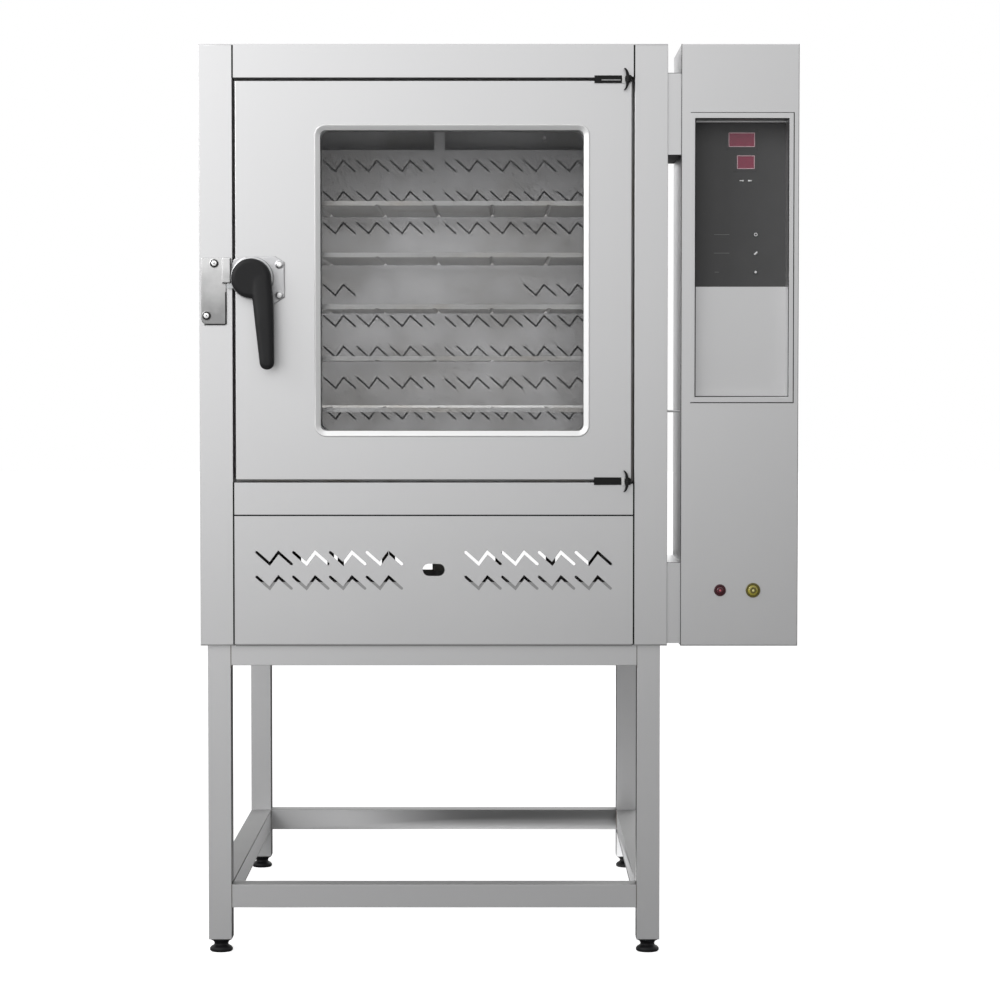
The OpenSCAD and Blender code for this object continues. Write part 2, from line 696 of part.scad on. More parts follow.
// Front sheet folded back round its edge, with the window's hole
module door_skin() color("lightgray") place() {
    difference() {
        block(-door_w / 2, door_w / 2, 0, sheet, door_z, door_z + door_h);
        at_window() facing(-1, sheet + 2)
            polygon(rounded(window_w - 2 * trim_lap, window_h - 2 * trim_lap, window_r - trim_lap));
    }
    for (x = [-door_w / 2, door_w / 2 - sheet])
        block(x, x + sheet, sheet, door_d - liner_t, door_z, door_z + door_h);
    for (z = [door_z, door_z + door_h - sheet])
        block(-door_w / 2 + sheet, door_w / 2 - sheet, sheet, door_d - liner_t, z, z + sheet);
}

module door_liner() color("darkgray") place() difference() {
    block(-door_w / 2, door_w / 2, door_d - liner_t, door_d, door_z, door_z + door_h);
    at_window() facing(door_d - liner_t - 1, liner_t + 2)
        polygon(rounded(window_w - 2 * trim_w, window_h - 2 * trim_w, window_r - trim_lap));
}

// Outer pane behind the skin and inner pane behind the liner
module door_glass() color("lightsteelblue", 0.5) place() at_window()
    for (y = [sheet, door_d - liner_t - glass_t])
        facing(y, glass_t) polygon(rounded(window_w + 2 * pane_lap - 2 * trim_lap,
            window_h + 2 * pane_lap - 2 * trim_lap, window_r));

// Bevelled frame whose lip laps over the edge of the skin's hole
module window_trim() color("whitesmoke") place() at_window()
    profiled_frame(window_w, window_h, window_r, [[0, 0], [0.3, 0.7 * trim_out], [1.2, trim_out],
        [2.2, trim_out], [3, 0.85 * trim_out], [trim_w - 0.6, -0.7], [trim_w, -sheet + room],
        [trim_lap + room, -sheet + room], [trim_lap + room, 0]]);

// Hollow bulb of silicone rubber round the liner, 10 wide
bulb_w = 10;
bulb_in = 6;
module door_gasket() color("dimgray") place() translate([0, door_d, door_mid])
    profiled_frame(chamber_w + 2 * (bulb_in / 2 + bulb_w), chamber_h + 2 * (bulb_in / 2 + bulb_w), 22,
        [[0, 0], [0, -0.35 * gasket_h], [0.15 * bulb_w, -0.75 * gasket_h], [0.35 * bulb_w, -gasket_h],
            [0.65 * bulb_w, -gasket_h], [0.85 * bulb_w, -0.75 * gasket_h],
            [bulb_w, -0.35 * gasket_h], [bulb_w, 0]]);

module door_insulation() color("khaki") place() difference() {
    block(-door_w / 2 + sheet, door_w / 2 - sheet, sheet, door_d - liner_t,
        door_z + sheet, door_z + door_h - sheet);
    at_window() facing(0, door_d) polygon(rounded(window_w + 2 * wool_in - 2 * trim_lap,
        window_h + 2 * wool_in - 2 * trim_lap, window_r));
}

// HINGES

// Curved horn with an eye round the hinge pin, drawn for the top hinge from the pin's level up
horn_w = 6.4;
horn_h = 19;
horn_bend = 10;
eye_h = 4.5;
pin_in = 2;
function horn_line(inset) = [for (k = [0:5]) [1.5 - horn_bend * (1 - cos(15 * k)) - inset * (1 - 0.14 * k),
    horn_h * (1 - 0.003 * inset) * sin(15 * k)]];
module horn() {
    inner = horn_line(horn_w);
    difference() {
        union() {
            cylinder(r = eye_r, h = eye_h);
            rotate([90, 0, 0]) translate([0, 0, -hinge_out]) linear_extrude(hinge_out + 3)
                polygon(concat(horn_line(0), [for (k = [5:-1:0]) inner[k]]));
            block(-3.5, 3.5, 0, hinge_out, 0, eye_h);
        }
        translate([0, 0, -1]) cylinder(r = pin_r + run, h = eye_h + pin_in + 1);
    }
}

// Fixed horns on the header and the middle rail, each with its headed pin
pin_gap = 0.3;
module hinge_horns() color("black") place() for (s = [-1, 1])
    translate([hinge_x, -hinge_out, door_mid]) mirror([0, 0, s > 0 ? 0 : 1])
        translate([0, 0, door_h / 2 + door_gap / 2 + pin_gap / 2]) {
            horn();
            translate([0, 0, -eye_h - pin_in]) cylinder(r = pin_r, h = 2 * eye_h + pin_in);
            translate([0, 0, eye_h]) cylinder(r = pin_r + 1.5, h = 1.5);
            translate([0, hinge_out, 0]) rotate([90, 0, 0]) linear_extrude(4)
                polygon([[3.4, 0], [9, 1], [9, 4], [3.4, eye_h]]);
        }

// Door horns and the flat bars that carry them on the door's top and bottom edges
bar_l = 47;
bar_h = 13;
bar_x = -11.4;
module door_hinge_arms() color("black") place() for (s = [-1, 1])
    translate([hinge_x, -hinge_out, door_mid]) mirror([0, 0, s > 0 ? 0 : 1]) {
        translate([0, 0, door_h / 2 + door_gap / 2 - pin_gap / 2]) mirror([0, 0, 1]) horn();
        block(bar_x - bar_l, bar_x, hinge_out - 3, hinge_out, door_h / 2 - 4, door_h / 2 - 4 + bar_h);
    }

// HANDLE AND LATCH

// L-shaped plate on the left post, with the raised block that the tongue lies under
module keeper_plate() color("whitesmoke") place() {
    x1 = hub_x - 34;
    difference() {
        union() {
            facing(-3, 3) translate([x1, hub_z]) polygon([[-51.4, 36], [0, 36], [0, -7], [-8, -7],
                [-8, -78], [-42.4, -78], [-47, -76.5], [-50.2, -73.3], [-51.4, -69], [-51.4, -20]]);
            block(x1 - 14, x1, -15, -3, hub_z - 7, hub_z + 36);
        }
        for (p = [[-28.7, 27], [-42.2, -63]])
            rod(x1 + p[0], -4, hub_z + p[1], 3.2, 5);
    }
    for (p = [[-28.7, 27], [-42.2, -63]]) {
        rod(x1 + p[0], -5.4, hub_z + p[1], 6.5, 2.4);
        rod(x1 + p[0], -3, hub_z + p[1], 3.1, 3);
    }
}

tongue_y = -9.6;
tongue_t = 6.5;
pocket_r = 17;
// Cast housing: round boss, screwed flange and the pocket for the tongue's sweep
module handle_housing() color("silver") place() translate([hub_x, 0, hub_z]) {
    difference() {
        union() {
            rod(3.3, -housing_d, 1, 36.3, housing_d);
            facing(-5, 5) polygon([[13, 38], [41.5, 39.2], [57.8, 29], [58.3, -31.5], [40, -42.8],
                [0, -38], [-20, -24], [-32.4, 12], [-32.6, 27], [-29, 33.5], [-21, 37.2]]);
        }
        rod(0, tongue_y - room, 0, pocket_r, 20);
        facing(tongue_y - room, 20) polygon([[0, 17], [-46, 12], [-46, -46], [17, -46], [17, 0]]);
        rod(0, -housing_d - 1, 0, spindle_r + run, housing_d);
    }
    for (z = [24.6, -28.2]) rod(49.4, -7.5, z, 5.6, 2.5);
}

// Tongue and spindle in one piece, with a square end in the lever
square_w = 8;
module latch_tongue() color("silver") place() translate([hub_x, 0, hub_z]) {
    rod(0, tongue_y, 0, pocket_r - 1, tongue_t);
    facing(tongue_y, tongue_t) polygon([[0, -4], [-28, -7.4], [-39, -7.6], [-41, -9.2], [-41, -15],
        [-39, -16.4], [-4, -15.5], [8, -10]]);
    rod(0, -housing_d - room, 0, spindle_r, housing_d + room + tongue_y + 1);
    block(-square_w / 2, square_w / 2, -housing_d - 14, -housing_d - room, -square_w / 2, square_w / 2);
}

// One rounded slice of the lever: centre, radius, back and front
module slice(x, z, r, y_back, y_front) {
    rod(x, y_front + 7, z, r, y_back - y_front - 7);
    rod(x, y_front + 2.5, z, r - 2, y_back - y_front - 2.5);
    rod(x, y_front, z, r - 6, y_back - y_front);
}

module handle_lever() color("black") place() translate([hub_x, 0, hub_z]) {
    back = -housing_d - room;
    k = lever_l / 156;
    difference() {
        union() {
            $fn = 40;
            hull() slice(3.2, 0, head_r, back, -50);
            hull() {
                slice(20.4, -6, 17.6, back, -50);
                slice(24.2, -46 * k, 17, -27, -54);
            }
            hull() {
                slice(24.2, -46 * k, 17, -27, -54);
                slice(26.6, -78 * k, 15.6, -33, -58);
            }
            hull() {
                slice(26.6, -78 * k, 15.6, -33, -58);
                slice(31, -lever_l + 12.4, 12.4, -41, -lever_out);
            }
        }
        block(-square_w / 2, square_w / 2, back - 15, back + 1, -square_w / 2, square_w / 2);
    }
}

// CONTROL BOX

case_t = 1.5;
module control_case() color("lightgray") place() {
    difference() {
        block(box_x, box_x + box_w, 0, box_d - case_t, stand_h, body_top);
        block(box_x + case_t, box_x + box_w - case_t, case_t, box_d, stand_h + case_t,
            body_top - case_t);
        block(panel_x - inner_w / 2 - recess_t, panel_x + inner_w / 2 + recess_t, -1, case_t + 1,
            panel_z + border_h - recess_t, panel_z + panel_h - border_h + recess_t);
    }
    difference() {
        block(box_x, box_x + box_w, box_d - case_t, box_d, stand_h, body_top);
        rod(gland_x, box_d - case_t - 1, gland_z, gland_r + run, case_t + 2);
    }
}
gland_r = 12.5;
gland_x = box_x + box_w / 2;
gland_z = stand_h + 60;

module panel_at(z) translate([panel_x, 0, panel_z + z]) children();

// Recessed frame: a flange proud of the box, and four walls back to the panel
bezel_out = 1.6;
recess_t = 1.5;
module control_bezel() color("gainsboro") place() panel_at(panel_h / 2) difference() {
    union() {
        block(-panel_w / 2, panel_w / 2, -bezel_out, 0, -panel_h / 2, panel_h / 2);
        block(-inner_w / 2 - recess_t, inner_w / 2 + recess_t, 0, recess_d,
            -inner_h / 2 - recess_t, inner_h / 2 + recess_t);
    }
    block(-inner_w / 2, inner_w / 2, -bezel_out - 1, recess_d + 1, -inner_h / 2, inner_h / 2);
}

// Panel pieces, placed by their distance from the middle and below the top of the recess
membrane_t = 1.5;
key_r = 4.5;
key_x = 28.5;
key_down = [196.4, 228.8, 261.5];
display = [[5.8, 33.1, 48, 26.6], [13.5, 73.6, 33, 25]];
module on_panel(x, down) panel_at(border_h + inner_h - down) translate([x, recess_d, 0]) children();

module membrane_panel() color([0.26, 0.26, 0.27]) place() difference() {
    on_panel(0, membrane_h / 2) block(-inner_w / 2, inner_w / 2,
        -membrane_t, 0, -membrane_h / 2, membrane_h / 2);
    for (d = display) on_panel(d[0], d[1])
        block(-d[2] / 2, d[2] / 2, -membrane_t - 1, 1, -d[3] / 2, d[3] / 2);
    for (down = key_down) on_panel(key_x, down)
        rod(0, -membrane_t - 1, 0, key_r + room, membrane_t + 2);
}

module display_windows() color([0.5, 0.2, 0.26]) place() for (d = display) on_panel(d[0], d[1])
    block(-d[2] / 2, d[2] / 2, -membrane_t - 0.4, 0, -d[3] / 2, d[3] / 2);

module key(down) color("dimgray") place() on_panel(key_x, down) translate([0, -key_travel - 0.2, 0])
    rotate([90, 0, 0]) rotate_extrude() polygon([[0, 0], [key_r, 0],
        [key_r, membrane_t - 0.5], [key_r - 0.7, membrane_t - 0.2], [0, membrane_t]]);
module key_1() key(key_down[0]);
module key_2() key(key_down[1]);
module key_3() key(key_down[2]);

module blank_plate() color("gainsboro") place() on_panel(0, membrane_h)
    block(-inner_w / 2, inner_w / 2, -membrane_t, 0, membrane_h - inner_h, 0);

lamp_z = stand_h + 96;
lamp_x = [box_x + 68.5, box_x + 125.5];
lamp_r = [9.5, 12];
// Two pilot lamps: ring, domed lens and the barrel behind the sheet
module pilot_lamps() color("firebrick") place() for (k = [0, 1])
    translate([lamp_x[k], 0, lamp_z]) rotate([90, 0, 0]) {
        rotate_extrude() polygon([[lamp_r[k] - 3, 0], [lamp_r[k], 0], [lamp_r[k], 1.6],
            [lamp_r[k] - 1, 2.6], [lamp_r[k] - 3, 2.6]]);
        rotate_extrude() polygon([[0, 0], [lamp_r[k] - 3, 0], [lamp_r[k] - 3, 3],
            [lamp_r[k] - 4, 4.6], [lamp_r[k] - 6, 5.6], [0, 6.2]]);
    }

// Two hollow spacers that carry the box and pass its wires, and a thin conduit
bracket = [[4, 144], [846, 986]];
bracket_y = [4, 224];
bracket_t = 3;
groove = [1.6, 1.8];
module box_brackets() color("silver") place() {
    for (b = bracket) difference() {
        block(body_w / 2, box_x, bracket_y[0], bracket_y[1], stand_h + b[0], stand_h + b[1]);
        block(box_x - groove[0], box_x + 1, bracket_y[0] - 1, bracket_y[0] + groove[1],
            stand_h + b[0] - 1, stand_h + b[1] + 1);
        block(body_w / 2 - 1, box_x + 1, bracket_y[0] + bracket_t, bracket_y[1] - bracket_t,
            stand_h + b[0] + bracket_t, stand_h + b[1] - bracket_t);
    }
    translate([body_w / 2, 30, stand_h + 405]) rotate([0, 90, 0]) cylinder(r = 2, h = box_gap);
}

// Board behind the panel, and a transformer and a contactor on the side wall
module control_electronics() color("seagreen") place() {
    x0 = box_x + case_t;
    on_panel(0, membrane_h / 2) {
        block(-inner_w / 2, inner_w / 2, 0, 1.6, -membrane_h / 2, membrane_h / 2);
        for (k = [-1:1]) block(-50, -20, 1.6, 16, 70 * k - 12, 70 * k + 12);
    }
    block(x0, x0 + 70, 110, 190, stand_h + 230, stand_h + 310);
    block(x0, x0 + 60, 110, 190, stand_h + 330, stand_h + 390);
}

// Gland for the supply cable: flange nut, threaded body and domed nut
module cable_gland() color("dimgray") place() difference() {
    union() {
        rod(gland_x, box_d - 12, gland_z, gland_r, 20);
        translate([gland_x, box_d, gland_z]) rotate([-90, 0, 0]) cylinder(r = 16.5, h = 7, $fn = 6);
        translate([gland_x, box_d + 7, gland_z]) rotate([-90, 0, 0]) rotate_extrude()
            polygon([[0, 0], [14.5, 0], [14.5, 12], [9, 20], [0, 20]]);
        rod(gland_x, box_d - case_t - 6, gland_z, 16.5, 6);
    }
    rod(gland_x, box_d - 13, gland_z, 7, 42);
}

stand_legs();
stand_top_rails();
stand_lower_rails();
foot_1();
foot_2();
foot_3();
foot_4();
side_panel_left();
side_panel_right();
roof_panel();
rear_panel();
front_header();
middle_rail();
base_pan();
burner_cover();
chamber_walls();
chamber_back();
chamber_mouth();
insulation();
motor_plate();
fan_baffle();
baffle_strap();
tray_racks();
fan_motor();
motor_shaft();
fan_wheel();
flue_duct();
burner_tubes();
gas_train();
igniter();
temperature_probe();
keeper_plate();
hinge_horns();
door_hinge_arms();
door_skin();
door_liner();
door_glass();
window_trim();
door_gasket();
door_insulation();
handle_housing();
handle_lever();
latch_tongue();
tray_1();
tray_2();
tray_3();
tray_4();
tray_5();
key_1();
key_2();
key_3();
control_case();
control_bezel();
membrane_panel();
display_windows();
blank_plate();
pilot_lamps();
box_brackets();
control_electronics();
cable_gland();
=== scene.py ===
import json
import math

import bmesh
import bpy
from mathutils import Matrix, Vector


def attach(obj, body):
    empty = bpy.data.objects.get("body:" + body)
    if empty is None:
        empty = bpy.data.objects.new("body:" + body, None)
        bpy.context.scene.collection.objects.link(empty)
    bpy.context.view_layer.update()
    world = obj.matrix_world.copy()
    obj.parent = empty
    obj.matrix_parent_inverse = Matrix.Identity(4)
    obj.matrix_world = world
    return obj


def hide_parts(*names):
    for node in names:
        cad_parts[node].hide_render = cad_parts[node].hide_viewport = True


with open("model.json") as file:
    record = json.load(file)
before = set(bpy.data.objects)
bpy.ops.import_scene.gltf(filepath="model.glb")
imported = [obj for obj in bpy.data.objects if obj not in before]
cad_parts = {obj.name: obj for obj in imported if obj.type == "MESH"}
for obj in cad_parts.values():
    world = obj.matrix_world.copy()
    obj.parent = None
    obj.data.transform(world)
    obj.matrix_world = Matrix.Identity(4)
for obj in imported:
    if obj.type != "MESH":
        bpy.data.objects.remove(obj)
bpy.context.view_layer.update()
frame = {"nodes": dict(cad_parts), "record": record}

SCENE = bpy.context.scene
RECORD = frame["record"]
BODY_OF = {node: body for body, nodes in RECORD["behaviour"]["bodies"].items() for node in nodes}

# The oven body's middle and front plane in the row frame, and its millimetres
MIDDLE = -0.1127
FRONT = -0.472
MM = 0.001

# Edges of the oven body and of the control box, in these millimetres
BODY_LOW = 536
BODY_TOP = 1571
BOX_LEFT = 426
BOX_RIGHT = 628.4

X, Y, Z = range(3)


def at(x, y, z):
    """A point given in millimetres from the oven body's middle, its front plane and the floor."""
    return Vector((x * MM + MIDDLE, y * MM + FRONT, z * MM))


# CAMERA

# Place in metres, degrees that it looks down, and focal length in millimetres
CAMERA_PLACE = (0.0018, FRONT - 5.3, 1.0044)
CAMERA_DIP = 2.338
CAMERA_LENS = 110.66


def make_camera():
    """The camera of the photo, in front of the oven and a little above its middle."""
    bpy.ops.object.camera_add(location=CAMERA_PLACE,
                              rotation=(math.radians(90 - CAMERA_DIP), 0, 0))
    camera = bpy.context.object
    camera.name = "photo_camera"
    camera.data.sensor_width = 36
    camera.data.lens = CAMERA_LENS
    camera.data.clip_end = 60
    SCENE.camera = camera


SCENE.view_settings.view_transform = "Standard"


# FINISHES

class Value:
    """A number in a finish, so that its maths is written as maths."""

    def __init__(self, finish, socket):
        self.finish = finish
        self.socket = socket

    def maths(self, operation, *others):
        return self.finish.node("Math", {"operation": operation}, dict(enumerate((self, *others))))

    def __add__(self, other):
        return self.maths("ADD", other)

    def __mul__(self, other):
        return self.maths("MULTIPLY", other)

    def __sub__(self, other):
        return self.maths("SUBTRACT", other)

    def __truediv__(self, other):
        return self.maths("DIVIDE", other)

    def above(self, edge, soft):
        """0 under the edge and 1 over it, with a soft step."""
        return self.finish.node("MapRange", {"interpolation_type": "SMOOTHSTEP"},
                                {0: self, 1: edge - soft, 2: edge + soft, 3: 0.0, 4: 1.0})


class Finish:
    """A material built from nodes round one Principled shader."""

    def __init__(self, name, base, rough, metal=0.0, **constants):
        self.material = bpy.data.materials.new(name)
        self.material.use_nodes = True
        self.tree = self.material.node_tree
        self.shader = self.tree.nodes["Principled BSDF"]
        self.base = (*base, 1)
        self.shader.inputs["Base Color"].default_value = self.base
        self.shader.inputs["Roughness"].default_value = rough
        self.shader.inputs["Metallic"].default_value = metal
        for key, value in constants.items():
            socket = key.replace("_", " ").title().replace("Ior", "IOR")
            self.shader.inputs[socket].default_value = value

    def node(self, kind, settings, inputs, output=0):
        """Adds a node: its settings first, then the values or links of its sockets."""
        made = self.tree.nodes.new("ShaderNode" + kind)
        for key, value in settings.items():
            setattr(made, key, value)
        for key, value in inputs.items():
            if isinstance(value, Value):
                self.tree.links.new(value.socket, made.inputs[key])
            else:
                made.inputs[key].default_value = value
        return Value(self, made.outputs[output])

    def feed(self, socket, value):
        self.tree.links.new(value.socket, self.shader.inputs[socket])

    def place(self, stretch=(1, 1, 1)):
        spot = self.node("TexCoord", {}, {}, "Object")
        return self.node("Mapping", {}, {"Vector": spot, "Scale": stretch})

    def along(self, axis):
        """The place along an axis, in metres."""
        return self.node("SeparateXYZ", {}, {0: self.place()}, axis)

    def facing(self, axis):
        """How far the surface faces along an axis, from -1 to 1."""
        normal = self.node("NewGeometry", {}, {}, "Normal")
        return self.node("SeparateXYZ", {}, {0: normal}, axis)

    def noise(self, scale, stretch=(1, 1, 1), detail=3.0, rough=0.5):
        return self.node("TexNoise", {}, {"Vector": self.place(stretch), "Scale": scale,
                                          "Detail": detail, "Roughness": rough})

    def blend(self, amount, first, second):
        """A colour between two colours."""
        return self.node("Mix", {"data_type": "RGBA"}, {0: amount, 6: first, 7: second}, 2)

    def shade(self, amount, dark, light):
        """The base colour between a darker and a lighter tone of itself."""
        tones = [tuple(min(1, c * tone) for c in self.base[:3]) + (1,) for tone in (dark, light)]
        return self.blend(amount, *tones)

    def relief(self, height, depth, strength=1.0):
        """Bump of a depth in metres."""
        return self.node("Bump", {}, {"Strength": strength, "Distance": depth, "Height": height})


def grey(tone):
    """A grey as a shader's colour."""
    return (tone, tone, tone, 1)


# Stretch of the grain of brushed sheet: fine across, long along
ALONG = {"x": (1.2, 60, 60), "y": (60, 1.2, 60), "z": (60, 60, 1.2)}


def brushed(name, base, rough, grain="z", soil=0.02, cover=None):
    """Satin stainless sheet: brushing lines, clouds where it was wiped, and a cover if any."""
    finish = Finish(name, base, rough, 1.0)
    lines = finish.noise(26, ALONG[grain], detail=4.0, rough=0.65)
    clouds = finish.noise(3.5, detail=3.0)
    metal = finish.shade(lines * 0.6 + clouds * 0.4, 1 - soil, 1 + soil)
    finish.feed("Base Color", cover(finish, metal, clouds) if cover else metal)
    finish.feed("Roughness", (lines - 0.5) * 0.1 + (clouds - 0.5) * 0.06 + rough)
    finish.feed("Normal", finish.relief(lines, 0.00002, 0.5))
    return finish


def painted_shade_inside(finish, metal, clouds):
    """Cover of the legs: painted shade, near black, on the faces that look under the oven."""
    sideways = finish.along(X) - MIDDLE
    inside = (finish.facing(X) * sideways * -1).above(0.2, 0.05)
    return finish.blend(inside, metal, grey(0.05))


def painted_dark_tops(finish, metal, clouds):
    """Cover of the lower rails: painted shade on their upward faces, mottled by the clouds."""
    upward = finish.facing(Z).above(0.8, 0.2)
    return finish.blend(upward * (clouds * 0.3 + 0.8), metal, grey(0.34))


def painted_shade_sides(finish, metal, tone):
    """Painted shade: darkens the faces of a plate or casting that don't look to the front."""
    forward = finish.facing(Y) * -1
    return finish.blend(forward.above(0.3, 0.15), grey(tone), metal)


def cast(name, base, rough, edges=False):
    """Sand-cast metal: small pits and grains, and, with edges set, painted shade on the faces that
    don't look to the front.
    """
    finish = Finish(name, base, rough, 1.0)
    grains = finish.noise(900, detail=4.0, rough=0.6)
    clouds = finish.noise(60, detail=2.0)
    finish.feed("Roughness", (grains - 0.5) * 0.2 + rough)
    metal = finish.shade(grains * 0.7 + clouds * 0.3, 0.86, 1.1)
    # With edges set, the sides get painted shade
    finish.feed("Base Color", painted_shade_sides(finish, metal, 0.12) if edges else metal)
    finish.feed("Normal", finish.relief(grains, 0.00012, 0.8))
    return finish


def moulded(name, base, rough, grain=1400.0, depth=0.00004, **constants):
    """Moulded plastic or rubber with a fine leathery grain."""
    finish = Finish(name, base, rough, **constants)
    pebble = finish.noise(grain, detail=2.0)
    clouds = finish.noise(25, detail=2.0)
    finish.feed("Roughness", (clouds - 0.5) * 0.12 + rough)
    finish.feed("Base Color", finish.shade(clouds, 0.88, 1.12))
    finish.feed("Normal", finish.relief(pebble, depth, 0.6))
    return finish


def drawn(name, base, rough, low, high, lower):
    """Polished plate with a painted reflection of a darker floor towards its lower end, and painted
    shade on its sides.
    """
    finish = Finish(name, base, rough, 1.0)
    lines = finish.noise(26, ALONG["x"], detail=4.0)
    clouds = finish.noise(30, detail=3.0)
    # Painted reflection: the plate darkens towards its lower end, between the heights low and high
    down = (finish.along(Z) * -1 + high) / (high - low) + (clouds - 0.5) * 0.8
    metal = finish.shade(lines, 0.95, 1.05)
    face = finish.blend(down.maths("MAXIMUM", 0.0).maths("MINIMUM", 1.0), metal, grey(lower))
    finish.feed("Base Color", painted_shade_sides(finish, face, 0.03))
    finish.feed("Roughness", (clouds - 0.5) * 0.1 + rough)
    finish.feed("Normal", finish.relief(lines, 0.00002, 0.5))
    return finish


def heated(name, base, rough, tint, grain):
    """Steel sheet that has been hot: straw and brown clouds over the metal."""
    finish = Finish(name, base, rough, 1.0)
    lines = finish.noise(22, ALONG[grain], detail=3.0)
    clouds = finish.noise(7, detail=5.0, rough=0.6)
    metal = finish.shade(lines, 0.93, 1.07)
    stained = finish.blend(clouds.above(0.56, 0.14) * 0.55, metal, (*tint, 1))
    finish.feed("Base Color", stained)
    finish.feed("Roughness", (clouds - 0.5) * 0.25 + rough)
    finish.feed("Normal", finish.relief(lines, 0.00003, 0.5))
    return finish


def painted(name, base, rough):
    """Sprayed enamel with a light orange-peel surface."""
    finish = Finish(name, base, rough, coat_weight=0.3, coat_roughness=0.2)
    peel = finish.noise(420, detail=1.0)
    clouds = finish.noise(14, detail=3.0)
    finish.feed("Base Color", finish.shade(clouds, 0.9, 1.1))
    finish.feed("Roughness", (clouds - 0.5) * 0.1 + rough)
    finish.feed("Normal", finish.relief(peel, 0.00006, 0.5))
    return finish


def woolly(name, base):
    """Mineral wool: matted fibres."""
    finish = Finish(name, base, 0.95)
    fibres = finish.noise(180, (1, 1, 3), detail=6.0, rough=0.7)
    finish.feed("Base Color", finish.shade(fibres, 0.6, 1.25))
    finish.feed("Normal", finish.relief(fibres, 0.002, 0.9))
    return finish


def pane(name, base, alpha):
    """Tinted glass with a faint film of baked-on dust."""
    finish = Finish(name, base, 0.05, alpha=alpha, specular_ior_level=0.02)
    film = finish.noise(12, detail=4.0)
    finish.feed("Roughness", film.above(0.6, 0.2) * 0.12 + 0.04)
    finish.feed("Alpha", film * 0.06 + alpha - 0.03)
    return finish


def lens(name, base, glow):
    """Faceted coloured plastic lens over a lamp."""
    finish = Finish(name, base, 0.12, coat_weight=0.6, coat_roughness=0.05)
    facets = finish.node("TexVoronoi", {"feature": "F1"},
                         {"Vector": finish.place(), "Scale": 900.0}, "Distance")
    finish.feed("Base Color", finish.shade(facets, 0.7, glow))
    finish.feed("Normal", finish.relief(facets, 0.0004, 0.5))
    return finish


STEEL = (0.62, 0.62, 0.625)


